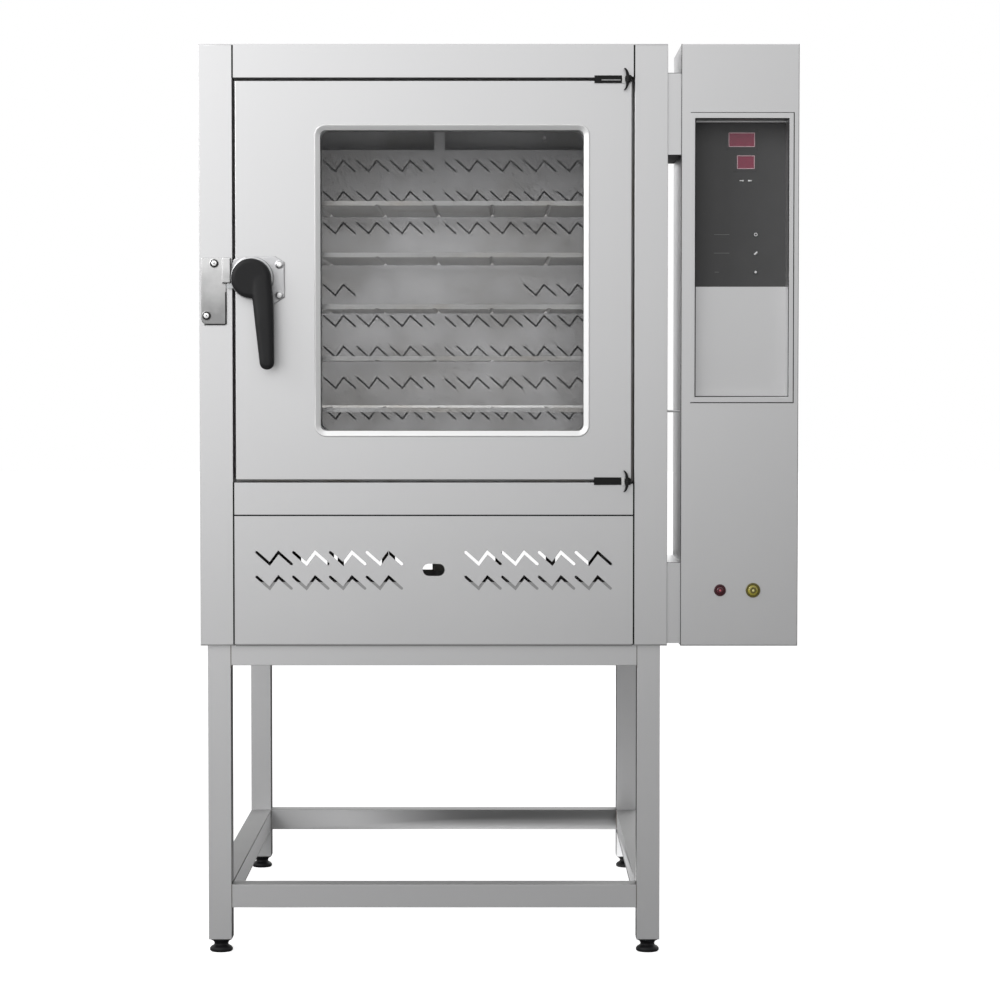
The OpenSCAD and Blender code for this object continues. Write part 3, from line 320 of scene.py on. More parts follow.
def make_finishes():
    """Every material of the oven, by its short name here."""
    made = {
        "upright": brushed("upright_stainless", STEEL, 0.36, "z"),
        "level": brushed("level_stainless", STEEL, 0.36, "x"),
        "roof": brushed("roof_stainless", STEEL, 0.38, "y"),
        "tube": brushed("tube_stainless", STEEL, 0.4, "z", cover=painted_shade_inside),
        "tube_x": brushed("rail_stainless", STEEL, 0.4, "x"),
        "bright": brushed("bright_stainless", (0.7, 0.7, 0.7), 0.28, "x"),
        "trim": brushed("trim_stainless", (0.8, 0.8, 0.8), 0.62, "x"),
        "keeper": drawn("keeper_steel", (0.6, 0.6, 0.6), 0.36, 1.1, 1.2, 0.27),
        "low_rail": brushed("low_rail_stainless", (0.53, 0.53, 0.535), 0.62, "x", cover=painted_dark_tops),
        # Darker stainless: painted shade on the base pan seen through the burner cover's slots, and
        # a painted highlight in the upper hinge bar
        "pan": brushed("stainless_painted_shade_and_highlight", (0.34, 0.34, 0.34), 0.45, "x"),
        "behind": heated("motor_space_steel", (0.42, 0.42, 0.425), 0.5, (0.34, 0.33, 0.31), "x"),
        "chamber": heated("chamber_steel", (0.42, 0.42, 0.42), 0.42, (0.39, 0.35, 0.29), "z"),
        "guide": heated("guide_steel", (0.42, 0.42, 0.425), 0.4, (0.385, 0.378, 0.365), "x"),
        "plated": brushed("zinc_plate", (0.5, 0.51, 0.52), 0.42, "x", soil=0.06),
        "tray": heated("tray_aluminium", (0.78, 0.78, 0.78), 0.36, (0.68, 0.63, 0.56), "y"),
        "cast": cast("cast_aluminium", (0.6, 0.6, 0.61), 0.42, edges=True),
        "lever": moulded("lever_plastic", (0.013, 0.013, 0.014), 0.55, specular_ior_level=0.25),
        "hinge": moulded("hinge_enamel", (0.008, 0.008, 0.008), 0.5, 900.0, specular_ior_level=0.2),
        "burnt": heated("burner_steel", (0.2, 0.19, 0.18), 0.55, (0.16, 0.09, 0.05), "y"),
        "glass": pane("door_pane", (0.06, 0.062, 0.065), 0.11),
        "gasket": moulded("gasket_silicone", (0.03, 0.03, 0.032), 0.6, 500.0, 0.0001),
        "wool": woolly("mineral_wool", (0.6, 0.52, 0.34)),
        "motor": painted("motor_enamel", (0.06, 0.075, 0.09), 0.45),
        "brass": cast("gas_brass", (0.62, 0.44, 0.2), 0.35),
        "ceramic": painted("electrode_ceramic", (0.8, 0.78, 0.72), 0.3),
        "foot": moulded("foot_plastic", (0.006, 0.006, 0.007), 0.5, 700.0, specular_ior_level=0.25),
        "membrane": moulded("membrane_film", (0.063, 0.063, 0.064), 0.42, 2600.0, 0.00001),
        "display": lens("display_filter", (0.3, 0.014, 0.065), 1.0),
        "lamp": lens("red_lens", (0.1, 0.003, 0.012), 1.4),
        "amber": lens("amber_lens", (0.36, 0.31, 0.035), 1.5),
        "red_ring": moulded("red_lamp_ring", (0.05, 0.004, 0.01), 0.4),
        "amber_ring": moulded("amber_lamp_ring", (0.13, 0.11, 0.015), 0.4),
        # Light discs at the lamps' middles: painted highlights
        "red_painted_highlight": moulded("red_lamp_painted_highlight", (0.6, 0.12, 0.16), 0.3),
        "amber_painted_highlight": moulded("amber_lamp_painted_highlight", (0.8, 0.74, 0.3), 0.3),
        # Black rubber for the keeper washers, and painted shade for the black strips in joints and
        # round the panel
        "rubber": moulded("seal_rubber", (0.008, 0.008, 0.008), 0.6, 900.0, specular_ior_level=0.2),
        "print": moulded("panel_print", (0.85, 0.85, 0.85), 0.5),
        "faint_print": moulded("panel_faint_print", (0.2, 0.2, 0.2), 0.5),
        "frame_print": moulded("display_border", (0.75, 0.5, 0.55), 0.5),
        "fastener": brushed("fastener_steel", (0.9, 0.9, 0.9), 0.4, "z"),
        "board": painted("board_lacquer", (0.03, 0.14, 0.07), 0.4),
        # White of the blocks between the hinge bars and their eyes: a painted highlight
        "hinge_highlight": moulded("hinge_highlight_white", (0.8, 0.8, 0.79), 0.45, 900.0),
        "nylon": moulded("gland_nylon", (0.03, 0.03, 0.03), 0.5, 800.0)}
    return {key: finish.material for key, finish in made.items()}


FINISH = make_finishes()

# The finish of each carried-over node
NODE_FINISH = {
    "stand_legs": "tube", "stand_top_rails": "tube_x", "stand_lower_rails": "low_rail",
    "side_panel_left": "upright", "side_panel_right": "upright", "roof_panel": "roof",
    "rear_panel": "upright", "front_header": "level", "middle_rail": "level", "base_pan": "pan",
    "burner_cover": "level", "chamber_walls": "chamber", "chamber_back": "behind",
    "chamber_mouth": "chamber", "insulation": "wool", "motor_plate": "behind",
    "fan_baffle": "guide", "baffle_strap": "guide", "tray_racks": "chamber",
    "fan_motor": "motor", "motor_shaft": "bright",
    "fan_wheel": "behind", "flue_duct": "plated", "burner_tubes": "burnt", "gas_train": "brass",
    "igniter": "ceramic", "temperature_probe": "bright", "keeper_plate": "keeper",
    "hinge_horns": "hinge", "door_hinge_arms": "hinge", "door_skin": "upright",
    "door_liner": "chamber", "door_glass": "glass", "window_trim": "trim", "door_gasket": "gasket",
    "door_insulation": "wool", "handle_housing": "cast", "handle_lever": "lever",
    "latch_tongue": "plated", "control_case": "upright", "control_bezel": "upright",
    "membrane_panel": "membrane", "display_windows": "display", "blank_plate": "upright",
    "pilot_lamps": "lamp", "box_brackets": "upright", "control_electronics": "board",
    "cable_gland": "nylon",
    **{"tray_%d" % k: "tray" for k in range(1, 6)},
    **{"foot_%d" % k: "foot" for k in range(1, 5)},
    **{"key_%d" % k: "membrane" for k in range(1, 4)}}


def finish_nodes():
    """Gives each carried-over node its material."""
    for node, finish in NODE_FINISH.items():
        solid = frame["nodes"][node]
        if not solid.material_slots:
            solid.data.materials.append(None)
        for slot in solid.material_slots:
            slot.material = FINISH[finish]


# MODELLING STEPS

def only(*pieces):
    """Selects these pieces and nothing else."""
    bpy.ops.object.select_all(action="DESELECT")
    for piece in pieces:
        piece.select_set(True)
    bpy.context.view_layer.objects.active = pieces[0]


def edit(piece, mode="FACE"):
    """Opens a piece for editing with nothing selected in it."""
    only(piece)
    bpy.ops.object.mode_set(mode="EDIT")
    bpy.ops.mesh.select_mode(type=mode)
    bpy.ops.mesh.select_all(action="DESELECT")
    return bmesh.from_edit_mesh(piece.data)


def leave():
    bpy.ops.object.mode_set(mode="OBJECT")


def modified(piece, kind, **settings):
    """Adds a modifier and applies it."""
    only(piece)
    modifier = piece.modifiers.new(kind.lower(), kind)
    for key, value in settings.items():
        setattr(modifier, key, value)
    bpy.ops.object.modifier_apply(modifier=modifier.name)


def seal(piece, finish, body, smooth=35):
    """Puts the place in the mesh, and gives the piece its finish, shading and body."""
    only(piece)
    bpy.ops.object.transform_apply(location=True, rotation=True, scale=True)
    bpy.ops.object.shade_smooth_by_angle(angle=math.radians(smooth))
    if smooth < 60:
        modified(piece, "WEIGHTED_NORMAL", keep_sharp=True, weight=100)
    piece.data.materials.clear()
    piece.data.materials.append(FINISH[finish])
    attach(piece, body)


def merged_copy(node, name):
    """A copy of a node with its triangles joined into whole faces."""
    piece = bpy.data.objects.new(name, frame["nodes"][node].data.copy())
    SCENE.collection.objects.link(piece)
    only(piece)
    if piece.data.has_custom_normals:
        bpy.ops.mesh.customdata_custom_splitnormals_clear()
    edit(piece)
    bpy.ops.mesh.select_all(action="SELECT")
    bpy.ops.mesh.remove_doubles(threshold=0.000005)
    bpy.ops.mesh.dissolve_limited(angle_limit=math.radians(0.5))
    leave()
    return piece


# A face is broad when its area is over this width times the edge's length, in metres
BROAD = 0.004


def fold_edges(piece, radius):
    """Rounds the folds of a sheet: its long outer edges between two broad faces."""
    mesh = edit(piece, "EDGE")
    for edge in mesh.edges:
        if len(edge.link_faces) != 2 or edge.calc_length() < 3 * radius:
            continue
        bend = edge.calc_face_angle_signed(0)
        broad = all(face.calc_area() > BROAD * edge.calc_length() for face in edge.link_faces)
        edge.select_set(broad and bend > math.radians(60))
    bmesh.update_edit_mesh(piece.data)
    bpy.ops.mesh.bevel(offset=radius, segments=3, affect="EDGES", clamp_overlap=True)
    leave()


def dress(node, fold=None, smooth=35, name=None):
    """A smooth copy of a node that stands for it, with its folds rounded."""
    piece = merged_copy(node, name or node + "_formed")
    if fold:
        fold_edges(piece, fold)
    seal(piece, NODE_FINISH[node], BODY_OF[node], smooth)
    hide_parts(node)
    return piece


# Turns of a new primitive, so that it faces this way
FACING = {"front": (math.radians(90), 0, 0), "rear": (math.radians(-90), 0, 0), "up": (0, 0, 0)}
OUTWARD = {"front": Vector((0, -1, 0)), "rear": Vector((0, 1, 0)), "up": Vector((0, 0, 1))}


def turned(name, centre, rings, facing="front", sides=24):
    """A turned piece: a disc drawn out ring by ring, each a radius and a height in millimetres."""
    bpy.ops.object.select_all(action="DESELECT")
    out = OUTWARD[facing]
    start = at(*centre) + out * rings[0][1] * MM
    bpy.ops.mesh.primitive_circle_add(vertices=sides, radius=rings[0][0] * MM, fill_type="NGON",
                                      location=start, rotation=FACING[facing])
    piece = bpy.context.object
    piece.name = name
    bpy.ops.object.transform_apply(location=True, rotation=True)
    edit(piece)
    bpy.ops.mesh.select_all(action="SELECT")
    for (radius, height), (wider, higher) in zip(rings, rings[1:]):
        bpy.ops.mesh.extrude_region_move(
            TRANSFORM_OT_translate={"value": out * (higher - height) * MM})
        if wider != radius:
            size = wider / radius
            bpy.ops.transform.resize(value=(size, size, size),
                                     center_override=at(*centre) + out * higher * MM)
    close_back()
    leave()
    return piece


def close_back():
    """Fills the open back of the piece in edit mode, and turns its faces outwards."""
    bpy.ops.mesh.select_mode(type="EDGE")
    bpy.ops.mesh.select_all(action="DESELECT")
    bpy.ops.mesh.select_non_manifold()
    bpy.ops.mesh.edge_face_add()
    bpy.ops.mesh.select_all(action="SELECT")
    bpy.ops.mesh.normals_make_consistent(inside=False)


def slab(name, middle, size, thick, corner=0.0, edge=0.0, border=None, turn=0.0):
    """A thin plate that faces the front, or a frame where a border is given, in millimetres."""
    bpy.ops.object.select_all(action="DESELECT")
    bpy.ops.mesh.primitive_plane_add(size=1, location=at(*middle), rotation=FACING["front"])
    piece = bpy.context.object
    piece.name = name
    piece.scale = (size[0] * MM, size[1] * MM, 1)
    bpy.ops.object.transform_apply(location=False, rotation=False, scale=True)
    edit(piece)
    bpy.ops.mesh.select_all(action="SELECT")
    if corner:
        bpy.ops.mesh.bevel(offset=corner * MM, segments=5, affect="VERTICES")
        bpy.ops.mesh.select_all(action="SELECT")
    if border:
        bpy.ops.mesh.inset(thickness=border * MM)
        bpy.ops.mesh.delete(type="FACE")
    leave()
    piece.rotation_euler.rotate_axis("Z", math.radians(turn))
    bpy.ops.object.transform_apply(location=True, rotation=True, scale=True)
    modified(piece, "SOLIDIFY", thickness=thick * MM, offset=1)
    if edge:
        modified(piece, "BEVEL", width=edge * MM, segments=2, limit_method="ANGLE")
    return piece


def beam(name, low, high):
    """A square-edged bar between two corners, in millimetres."""
    bpy.ops.object.select_all(action="DESELECT")
    corners = at(*low), at(*high)
    bpy.ops.mesh.primitive_cube_add(size=1, location=(corners[0] + corners[1]) / 2)
    piece = bpy.context.object
    piece.name = name
    piece.scale = corners[1] - corners[0]
    bpy.ops.object.transform_apply(location=True, rotation=True, scale=True)
    return piece


def joined(name, pieces):
    """Pieces of one finish and body made one."""
    only(*pieces)
    if len(pieces) > 1:
        bpy.ops.object.join()
    pieces[0].name = name
    return pieces[0]


def copies(piece, middle, places):
    """Copies of a piece at these places, each with its own mesh, instead of the piece itself."""
    made = []
    for place in places:
        spot = piece.copy()
        spot.data = piece.data.copy()
        SCENE.collection.objects.link(spot)
        spot.location = at(*place) - at(*middle)
        made.append(spot)
    bpy.data.objects.remove(piece)
    return made


# STAGE

# Studio light as seen by reflections: the wall behind the camera brightens to its upper left.
# Sizes and places are in metres, and the other three are strengths
WALL = {"size": (10, 7), "right": 5, "y": -8.2, "low": 0.02, "left": 2.0, "up": 0.45}
SKY_LIGHT = 0.1

# Floor: its tone, its tone in reflections, and how white it glows to the camera near the oven
# and from where on it is fully white
FLOOR_TONE = 0.8
FLOOR_MIRRORED = 0.58
FLOOR_GLOW = 0.86
FLOOR_WHITE = (1.7, 0.9)
# The floor's light in reflections of the stand's rear: centre, radius with its softness, strength
UNDER_OVEN = {"centre": (0.08, 0.3, 0), "radius": (0.3, 0.12), "strength": 2.0}


def seen_directly(finish):
    """1 for a ray that shows the background to the camera, straight or through glass."""
    ray = finish.node("LightPath", {}, {}, "Is Camera Ray")
    through = finish.node("LightPath", {}, {}, "Is Transmission Ray")
    return ray.maths("MAXIMUM", through)


def make_floor():
    """White paper floor that keeps the oven's shadow."""
    bpy.ops.mesh.primitive_plane_add(size=40, location=(0, 6, 0))
    floor = bpy.context.object
    floor.name = "studio_floor"
    bpy.ops.object.transform_apply(location=True)
    paper = Finish("floor_paper", (FLOOR_TONE,) * 3, 0.9, specular_ior_level=0.0,
                   emission_color=(1, 1, 1, 1))
    spot = paper.place()
    apart = paper.node("VectorMath", {"operation": "LENGTH"}, {0: spot}, "Value")
    glow = apart.above(*FLOOR_WHITE) * (1 - FLOOR_GLOW) + FLOOR_GLOW
    mirrored = paper.node("LightPath", {}, {}, "Is Glossy Ray")
    away = paper.node("VectorMath", {"operation": "DISTANCE"},
                      {0: spot, 1: UNDER_OVEN["centre"]}, "Value")
    radius, soft = UNDER_OVEN["radius"]
    near = (away * -1).above(-radius, soft) * mirrored
    paper.feed("Emission Strength", glow * seen_directly(paper) + near * UNDER_OVEN["strength"])
    paper.feed("Base Color", paper.blend(mirrored, grey(FLOOR_TONE), grey(FLOOR_MIRRORED)))
    floor.data.materials.append(paper.material)


def make_wall():
    """Studio wall behind the camera: white when looked at, and a soft gradient in reflections."""
    wide, tall = WALL["size"]
    bpy.ops.mesh.primitive_plane_add(size=1, rotation=FACING["rear"],
                                     location=(WALL["right"] / 2, WALL["y"], tall / 2))
    wall = bpy.context.object
    wall.name = "studio_wall"
    wall.scale = (wide + WALL["right"], tall, 1)
    bpy.ops.object.transform_apply(location=True, rotation=True, scale=True)
    paper = Finish("wall_paper", (0, 0, 0), 1.0, specular_ior_level=0.0,
                   emission_color=(1, 1, 1, 1))
    across = (paper.along(X) / -wide + 0.5).maths("MAXIMUM", 0.0)
    up = paper.along(Z) / tall
    glow = across * WALL["left"] + up * WALL["up"] + WALL["low"]
    paper.feed("Emission Strength", glow.maths("MAXIMUM", seen_directly(paper)))
    wall.data.materials.append(paper.material)


def make_sky():
    """White surroundings that light the oven only softly."""
    world = bpy.data.worlds.new("studio_world")
    world.use_nodes = True
    SCENE.world = world
    nodes, links = world.node_tree.nodes, world.node_tree.links
    ray = nodes.new("ShaderNodeLightPath").outputs
    level = ray["Is Camera Ray"]
    for other in ("Is Transmission Ray", "Is Glossy Ray", None):
        step = nodes.new("ShaderNodeMath")
        step.operation = "MAXIMUM"
        links.new(level, step.inputs[0])
        if other:
            links.new(ray[other], step.inputs[1])
        else:
            step.inputs[1].default_value = SKY_LIGHT
        level = step.outputs[0]
    sky = nodes["Background"].inputs
    links.new(level, sky["Strength"])
    sky["Color"].default_value = (1, 1, 1, 1)


# Soft lamps: name, place, what it points at and size, in metres, and power in watts
LAMPS = [
    ("key_softbox", (-2.4, -2.2, 2.4), (-0.1, -0.4, 1.1), (1.6, 1.6), 48),
    ("rear_softbox", (1.6, 3.4, 2.8), (0, 0.3, 0.9), (2.4, 2.4), 30),
    ("chamber_fill", (-0.12, -0.39, 1.11), (-0.12, 0.2, 1.11), (0.6, 0.54), 1.7),
    ("gap_fill", (0.301, -0.238, 1.032), (0.301, -0.6, 1.032), (0.018, 0.69), 0.016)]


def make_lamps():
    """Area lamps that the camera doesn't see."""
    for name, place, aim, size, power in LAMPS:
        bpy.ops.object.light_add(type="AREA", location=place)
        lamp = bpy.context.object
        lamp.name = name
        lamp.data.shape = "RECTANGLE"
        lamp.data.size, lamp.data.size_y = size
        lamp.data.energy = power
        lamp.visible_camera = False
        lamp.rotation_euler = (Vector(aim) - Vector(place)).to_track_quat("-Z", "Y").to_euler()


# SHEETS, TUBES AND TRIM

# Radius of the folds of thin sheet and of the corners of square tube, in metres
SHEET_FOLD = 0.0012
TUBE_FOLD = 0.0025


def make_sheets():
    """The sheets, the stand, the trays and the turned pieces, with rounded folds where it shows."""
    for node in ("side_panel_left", "side_panel_right", "front_header", "middle_rail", "door_skin",
                 "control_case", "control_bezel"):
        dress(node, fold=SHEET_FOLD)
    for node in ("roof_panel", "rear_panel", "base_pan", "burner_cover", "blank_plate",
                 "box_brackets", "flue_duct", "motor_plate", "chamber_walls", "chamber_mouth",
                 "chamber_back", "door_liner", "fan_baffle", "baffle_strap", "membrane_panel"):
        dress(node)
    for node in ("stand_legs", "stand_top_rails", "stand_lower_rails"):
        dress(node, fold=TUBE_FOLD)
    for k in range(1, 6):
        dress("tray_%d" % k)
    for k in range(1, 5):
        dress("foot_%d" % k, smooth=50)
    for node in ("window_trim", "door_gasket", "hinge_horns", "door_hinge_arms",
                 "latch_tongue", "tray_racks", "fan_wheel", "fan_motor", "gas_train",
                 "burner_tubes", "cable_gland", "temperature_probe", "motor_shaft"):
        dress(node, smooth=40)


# HANDLE AND KEEPER

def melted(node, voxel, rounds, name):
    """A cast or moulded piece: its solid is remeshed finely and its edges are worn round."""
    piece = merged_copy(node, name)
    modified(piece, "REMESH", mode="VOXEL", voxel_size=voxel, use_smooth_shade=True)
    modified(piece, "SMOOTH", factor=0.5, iterations=rounds)
    seal(piece, NODE_FINISH[node], BODY_OF[node], 60)
    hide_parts(node)


def make_handle():
    """The moulded lever, its cast housing and the keeper plate."""
    melted("handle_lever", 0.0012, 14, "lever_grip")
    melted("handle_housing", 0.0008, 5, "cast_housing")
    melted("keeper_plate", 0.0007, 3, "keeper_formed")


# Front of the keeper plate and of the housing's flange, and the screws in them (across, up)
KEEPER_FRONT = -5.4
KEEPER_SCREWS = ((-376.9, 1195.5), (-390.4, 1105.5))
FLANGE_FRONT = -7.5
FLANGE_SCREWS = ((-264.8, 1193.15), (-264.8, 1140.35))


def make_keeper_screws():
    """Domed screws: with a dark washer in the keeper plate, and in the cast housing's flange."""
    for x, z in KEEPER_SCREWS:
        screw = turned("keeper_screw", (x, KEEPER_FRONT, z),
                       [(4.6, 0), (4.6, 0.9), (4, 1.2), (1.2, 1.3), (0.9, 0.8)])
        seal(screw, "fastener", "oven", 30)
        washer = turned("keeper_washer", (x, KEEPER_FRONT, z),
                        [(6.7, -0.2), (6.7, 0.6), (6, 0.8), (4.7, 0.8)])
        seal(washer, "rubber", "oven", 30)
    for x, z in FLANGE_SCREWS:
        screw = turned("housing_screw", (x, FLANGE_FRONT, z),
                       [(4.4, 0), (4.4, 0.6), (3.9, 1.1), (1.9, 1.3), (1.7, 0.4)])
        seal(screw, "fastener", "door", 30)


# CONTROL PANEL

# The panel frame and the recess in it: middle, half widths and heights
PANEL_X = 530.6
PANEL_HALF = 88.4
PANEL_LOW = 956.6
PANEL_TOP = 1453.4
RECESS_HALF = 80.6
RECESS_LOW = 966.1
RECESS_TOP = 1443.9
# How far the panel's black strips of painted shade stand proud, and how wide they are
PANEL_STRIP_PROUD = 0.9
PANEL_STRIP_WIDE = 1.4
# Fronts of the membrane and of its keys
MEMBRANE_FRONT = 58.5
KEY_X = 559.1
KEY_FRONT = 57.7
# Displays: name, place across and up, and size
DISPLAYS = (("upper_display", 534.3, 1411.6, (45.6, 24.6)),
            ("lower_display", 541.4, 1372.8, (30.6, 23.2)))
# White marks under the displays: place across and size; and their height
MARKS = ((533.2, (5, 1.6)), (536.6, (2.6, 2.8)), (547, (3.6, 2.8)), (550.4, (3, 2)))
MARK_Z = 1340.9
# Faint dashes beside the keys: place across, distance under the recess's top and length
DASHES = ((499.8, 196.4, 27), (499.8, 228.6, 27), (491.5, 261.6, 7))


def make_panel_shade_strips():
    """Black strips that paint the shade under, right of and over the panel frame and round its
    recess, and the bead at the recess's top.
    """
    left, right = PANEL_X - PANEL_HALF, PANEL_X + PANEL_HALF
    edge = right + PANEL_STRIP_WIDE
    panel_strips = [beam("panel_shade_strips", (left, -PANEL_STRIP_PROUD, PANEL_LOW - PANEL_STRIP_WIDE), (edge, 0, PANEL_LOW)),
             beam("panel_shade_strip_right", (right, -PANEL_STRIP_PROUD, PANEL_LOW), (edge, 0, PANEL_TOP)),
             beam("panel_shade_strip_top", (left, -PANEL_STRIP_PROUD, PANEL_TOP), (edge, 0, PANEL_TOP + 0.9))]
    left, right = PANEL_X - RECESS_HALF, PANEL_X + RECESS_HALF
    for name, low, high in (("recess_left", (left, RECESS_LOW), (left + 1.2, RECESS_TOP)),
                            ("recess_right", (right - 1, RECESS_LOW), (right, RECESS_TOP)),
                            ("recess_low", (left, RECESS_LOW), (right, RECESS_LOW + 1.2)),
                            ("recess_top", (left, RECESS_TOP - 1.4), (right, RECESS_TOP))):
        panel_strips.append(beam(name, (low[0], -1.7, low[1]), (high[0], 0.6, high[1])))
    seal(joined("panel_shade_strips", panel_strips), "rubber", "oven")
    bead = beam("soffit_bead", (left, 53, RECESS_TOP - 2.6), (right, 58, RECESS_TOP))
    modified(bead, "BEVEL", width=0.8 * MM, segments=2)
    seal(bead, "bright", "oven")


def make_display_borders():
    """A thin bright border and a dark mask round each display."""
    for name, x, z, size in DISPLAYS:
        place = (x, MEMBRANE_FRONT - 0.4, z)
        border = slab(name + "_border", place, size, 0.5, corner=0.6, border=1.2, edge=0.1)
        seal(border, "frame_print", "oven")
        mask = slab(name + "_mask", place, (size[0] + 9, size[1] + 9), 0.2, corner=1, border=4.6)
        seal(mask, "membrane", "oven")


def make_panel_marks():
    """Plain marks on the membrane and on the keys."""
    marks = [slab("panel_mark", (x, MEMBRANE_FRONT, MARK_Z), size, 0.15, corner=size[1] * 0.3)
             for x, size in MARKS]
    seal(joined("panel_marks", marks), "print", "oven")
    dashes = [slab("panel_dash", (x, MEMBRANE_FRONT, RECESS_TOP - down), (long, 1), 0.12,
                   corner=0.3) for x, down, long in DASHES]
    seal(joined("panel_dashes", dashes), "faint_print", "oven")
    ring = slab("key_1_ring", (KEY_X, KEY_FRONT, 1247.5), (6, 6), 0.12, corner=2.8, border=1.2)
    seal(ring, "print", "key_1")
    bar = slab("key_2_bar", (KEY_X, KEY_FRONT, 1215.1), (7.6, 2.8), 0.12, corner=1.2, turn=42)
    seal(bar, "print", "key_2")
    dot = slab("key_3_dot", (KEY_X, KEY_FRONT, 1182.4), (4.2, 4.2), 0.12, corner=1.9)
    seal(dot, "print", "key_3")


# PILOT LAMPS

LAMP_Z = 632
# Each lamp: place across, radius of its ring, and finish of ring and of the painted highlight at
# its middle
PILOTS = ((494.5, 10.3, "red_ring", "red_painted_highlight"), (551.5, 12.6, "amber_ring", "amber_painted_highlight"))


def make_pilot_lamps():
    """The pilot lamps: the second lens is amber, and each has a ring, a groove and a light disc at
    its middle that paints its highlight.
    """
    lenses = dress("pilot_lamps", smooth=40, name="pilot_lenses")
    lenses.data.materials.append(FINISH["amber"])
    mesh = edit(lenses)
    middle = at((PILOTS[0][0] + PILOTS[1][0]) / 2, 0, 0).x
    for face in mesh.faces:
        face.material_index = int(face.calc_center_median().x > middle)
    bmesh.update_edit_mesh(lenses.data)
    leave()
    for x, radius, ring_finish, highlight_finish in PILOTS:
        ring = turned("lamp_ring", (x, 0, LAMP_Z),
                      [(radius, 0.2), (radius, 2.9), (radius - 0.8, 3.5), (radius - 2.6, 3.6),
                       (radius - 3.2, 2.7)], sides=40)
        seal(ring, ring_finish, "oven", 30)
        highlight = turned("lamp_painted_highlight", (x, 0, LAMP_Z), [(2.4, 6), (2.2, 6.5), (1, 6.9)], sides=6)
        seal(highlight, highlight_finish, "oven", 30)
        groove = turned("lamp_groove", (x, 0, LAMP_Z),
                        [(radius * 0.42, 5.2), (radius * 0.42, 6.3), (radius * 0.34, 6.4)],
                        sides=32)
        seal(groove, ring_finish, "oven", 30)


# WINDOW, HINGE BARS, FASTENERS AND WELDS

# Middle of the window
WINDOW_X = 32
WINDOW_Z = 1165.55


def make_window_reveal():
    """Folded steel strip round the space between the two panes, and the panes' spacer."""
    reveal = slab("window_reveal", (WINDOW_X, 42.2, WINDOW_Z), (457, 520), 36.4, corner=16,
                  border=1.4)
    seal(reveal, "plated", "door")
    spacer = slab("pane_spacer", (WINDOW_X, 42.3, WINDOW_Z), (463, 526), 3, corner=18, border=4.6)
    seal(spacer, "gasket", "door")


# Heights of the two hinge bars, and where the white block between bar and eye is, across and in
# depth
HINGE_Z = (1510.4, 820.0)
HIGHLIGHT_BLOCK_X = 326.6
HIGHLIGHT_BLOCK_Y = -0.2


def make_hinge_bars():
    """Painted highlights: a bare steel strip in the upper hinge bar, and a white block between each
    bar and its eye.
    """
    # Painted highlight: a lighter steel strip in the upper hinge bar
    highlight_line = slab("hinge_bar_highlight", (305, -3, HINGE_Z[0] - 1.2), (33, 1.7), 0.4, corner=0.5)
    seal(highlight_line, "pan", "door")
    highlight_blocks = [slab("hinge_highlight_block", (HIGHLIGHT_BLOCK_X, HIGHLIGHT_BLOCK_Y, height), (5.4, 13.5), 2.4, corner=1.2, edge=0.4)
              for height in HINGE_Z]
    seal(joined("hinge_highlight_blocks", highlight_blocks), "hinge_highlight", "door", 30)


def screw_heads(name, spots, facing, body):
    """Pan-head screws with a socket at each spot."""
    first = turned(name, spots[0], [(4.2, 0), (4.2, 1.1), (3.7, 1.8), (2.6, 2.2), (1.8, 2.25),
                                    (1.7, 1)], facing, sides=12)
    heads = copies(first, spots[0], spots)
    seal(joined(name, heads), "fastener", body, 30)


# Rear planes of the oven body and of the control box, and the flue collar's flange: its middle
# and top, and the radius of its ring of screws
REAR = 976
BOX_REAR = 230
FLUE = (-270, 815, 1573)
FLUE_RING = 71


def make_fasteners():
    """Screws round the rear sheet, in the flue collar's flange and in the box's rear."""
    rear = [(x, REAR, z) for x in (-390, 390) for z in range(570, 1570, 108)]
    rear += [(x, REAR, z) for x in range(-312, 320, 104) for z in (552, 1558)]
    screw_heads("rear_screws", rear, "rear", "oven")
    flange = [(FLUE[0] + FLUE_RING * math.cos(turn), FLUE[1] + FLUE_RING * math.sin(turn), FLUE[2])
              for turn in (math.radians(45 + 90 * k) for k in range(4))]
    screw_heads("flue_screws", flange, "up", "oven")
    box = [(x, BOX_REAR, z) for x in (440, 614) for z in (556, 1053, 1551)]
    screw_heads("box_screws", box, "rear", "oven")


# How far a strip stands proud of the front plane
STRIP_PROUD = 0.3
# Half widths of the stand strip, of the opening between the posts and of the sheets in it
STAND_HALF = 343
POST_EDGE = 345.3
SHEET_HALF = 344
# Sides and front of the two spacers between oven and box, and their heights
SPACER_LEFT = 402
SPACER_FRONT = 4
SPACERS = ((540, 680), (1382, 1522))
# The keeper's right edge, its low edge and its front there
KEEPER_EDGE = -358.3
KEEPER_LOW = 1090.5
KEEPER_STRIP_FRONT = -3.2


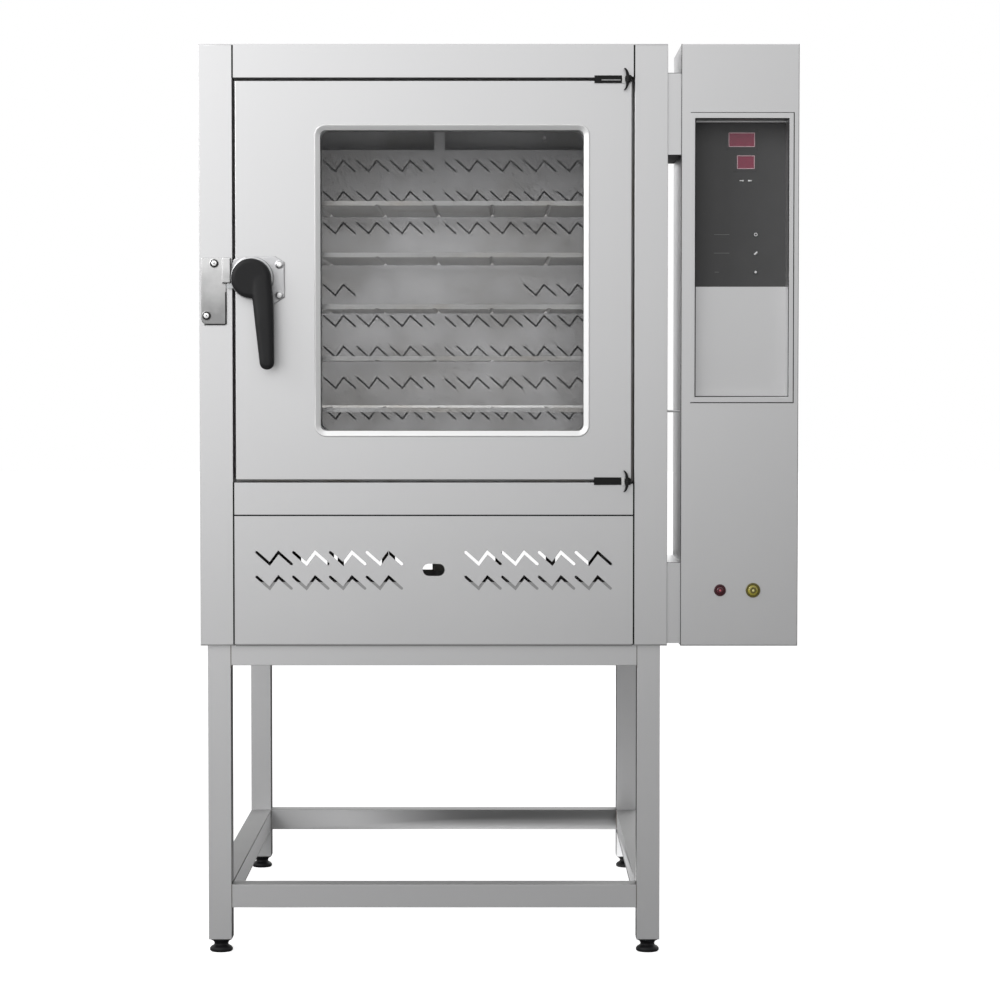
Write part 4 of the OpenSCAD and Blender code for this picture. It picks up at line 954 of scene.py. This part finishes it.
def make_joint_strips():
    """Black strips that paint the shade in the joints of the front sheets, the stand, the box and
    the keeper, and under the upper spacer.
    """
    strips = [beam("stand_strip", (-STAND_HALF, 7.2, BODY_LOW - 1.4),
                   (STAND_HALF, 8, BODY_LOW - 0.1)),
              beam("box_strip_left", (BOX_LEFT, -STRIP_PROUD, BODY_LOW),
                   (BOX_LEFT + 1, 0, BODY_TOP)),
              beam("box_strip_right", (BOX_RIGHT - 0.8, -STRIP_PROUD, BODY_LOW),
                   (BOX_RIGHT, 0, BODY_TOP)),
              beam("box_strip_low", (BOX_LEFT, -STRIP_PROUD, BODY_LOW),
                   (BOX_RIGHT, 0, BODY_LOW + 0.9)),
              # Painted shade on the underside of the upper spacer
              beam("spacer_underside_shade", (SPACER_LEFT, SPACER_FRONT + 0.2, SPACERS[1][0] - 0.5),
                   (BOX_LEFT - 0.4, 223.8, SPACERS[1][0]))]
    left, near = SPACER_LEFT + 0.2, SPACER_FRONT - STRIP_PROUD
    for low, high in SPACERS:
        strips += [beam("spacer_strip", (left, near, low), (left + 0.9, SPACER_FRONT, high)),
                   beam("spacer_strip", (left, near, high - 0.8),
                        (BOX_LEFT - 0.2, SPACER_FRONT, high))]
    for side in (-POST_EDGE, POST_EDGE):
        for low, high in ((1513.2, 1569.4), (539, 818)):
            strips.append(beam("sheet_seam_shade", (side - 1.4, -STRIP_PROUD, low),
                               (side + 1.4, 0, high)))
    strips += [beam("sheet_seam_shade", (-SHEET_HALF, -STRIP_PROUD, 760.2), (SHEET_HALF, 0, 762.7)),
               # Painted shade along the keeper's right and low edges
               beam("keeper_strip", (KEEPER_EDGE, KEEPER_STRIP_FRONT, 1090.6),
                    (KEEPER_EDGE + 2.4, 0, 1146)),
               beam("keeper_strip", (-395, KEEPER_STRIP_FRONT, KEEPER_LOW - 1.3),
                    (KEEPER_EDGE, 0, KEEPER_LOW))]
    seal(joined("joint_strips", strips), "rubber", "oven")


# The stand's tube: how far its inner sides are from the middle, front faces of front and rear
# rails, and their heights
LEG_INNER = 351.5
RAIL_FRONTS = (8, 928)
RAIL_HEIGHTS = ((496, 536), (79, 119))


def make_welds():
    """Weld beads where the rails meet the legs."""
    beads = []
    for inner in (-LEG_INNER, LEG_INNER):
        for low, high in RAIL_HEIGHTS:
            for face in RAIL_FRONTS:
                beads.append(beam("weld", (inner - 0.7, face - 0.4, low),
                                  (inner + 0.7, face + 0.4, high)))
    seal(joined("weld_beads", beads), "burnt", "oven")


make_camera()
finish_nodes()
make_sheets()
make_handle()
make_keeper_screws()
make_panel_shade_strips()
make_display_borders()
make_panel_marks()
make_pilot_lamps()
make_window_reveal()
make_hinge_bars()
make_fasteners()
make_joint_strips()
make_welds()
make_floor()
make_wall()
make_sky()
make_lamps()
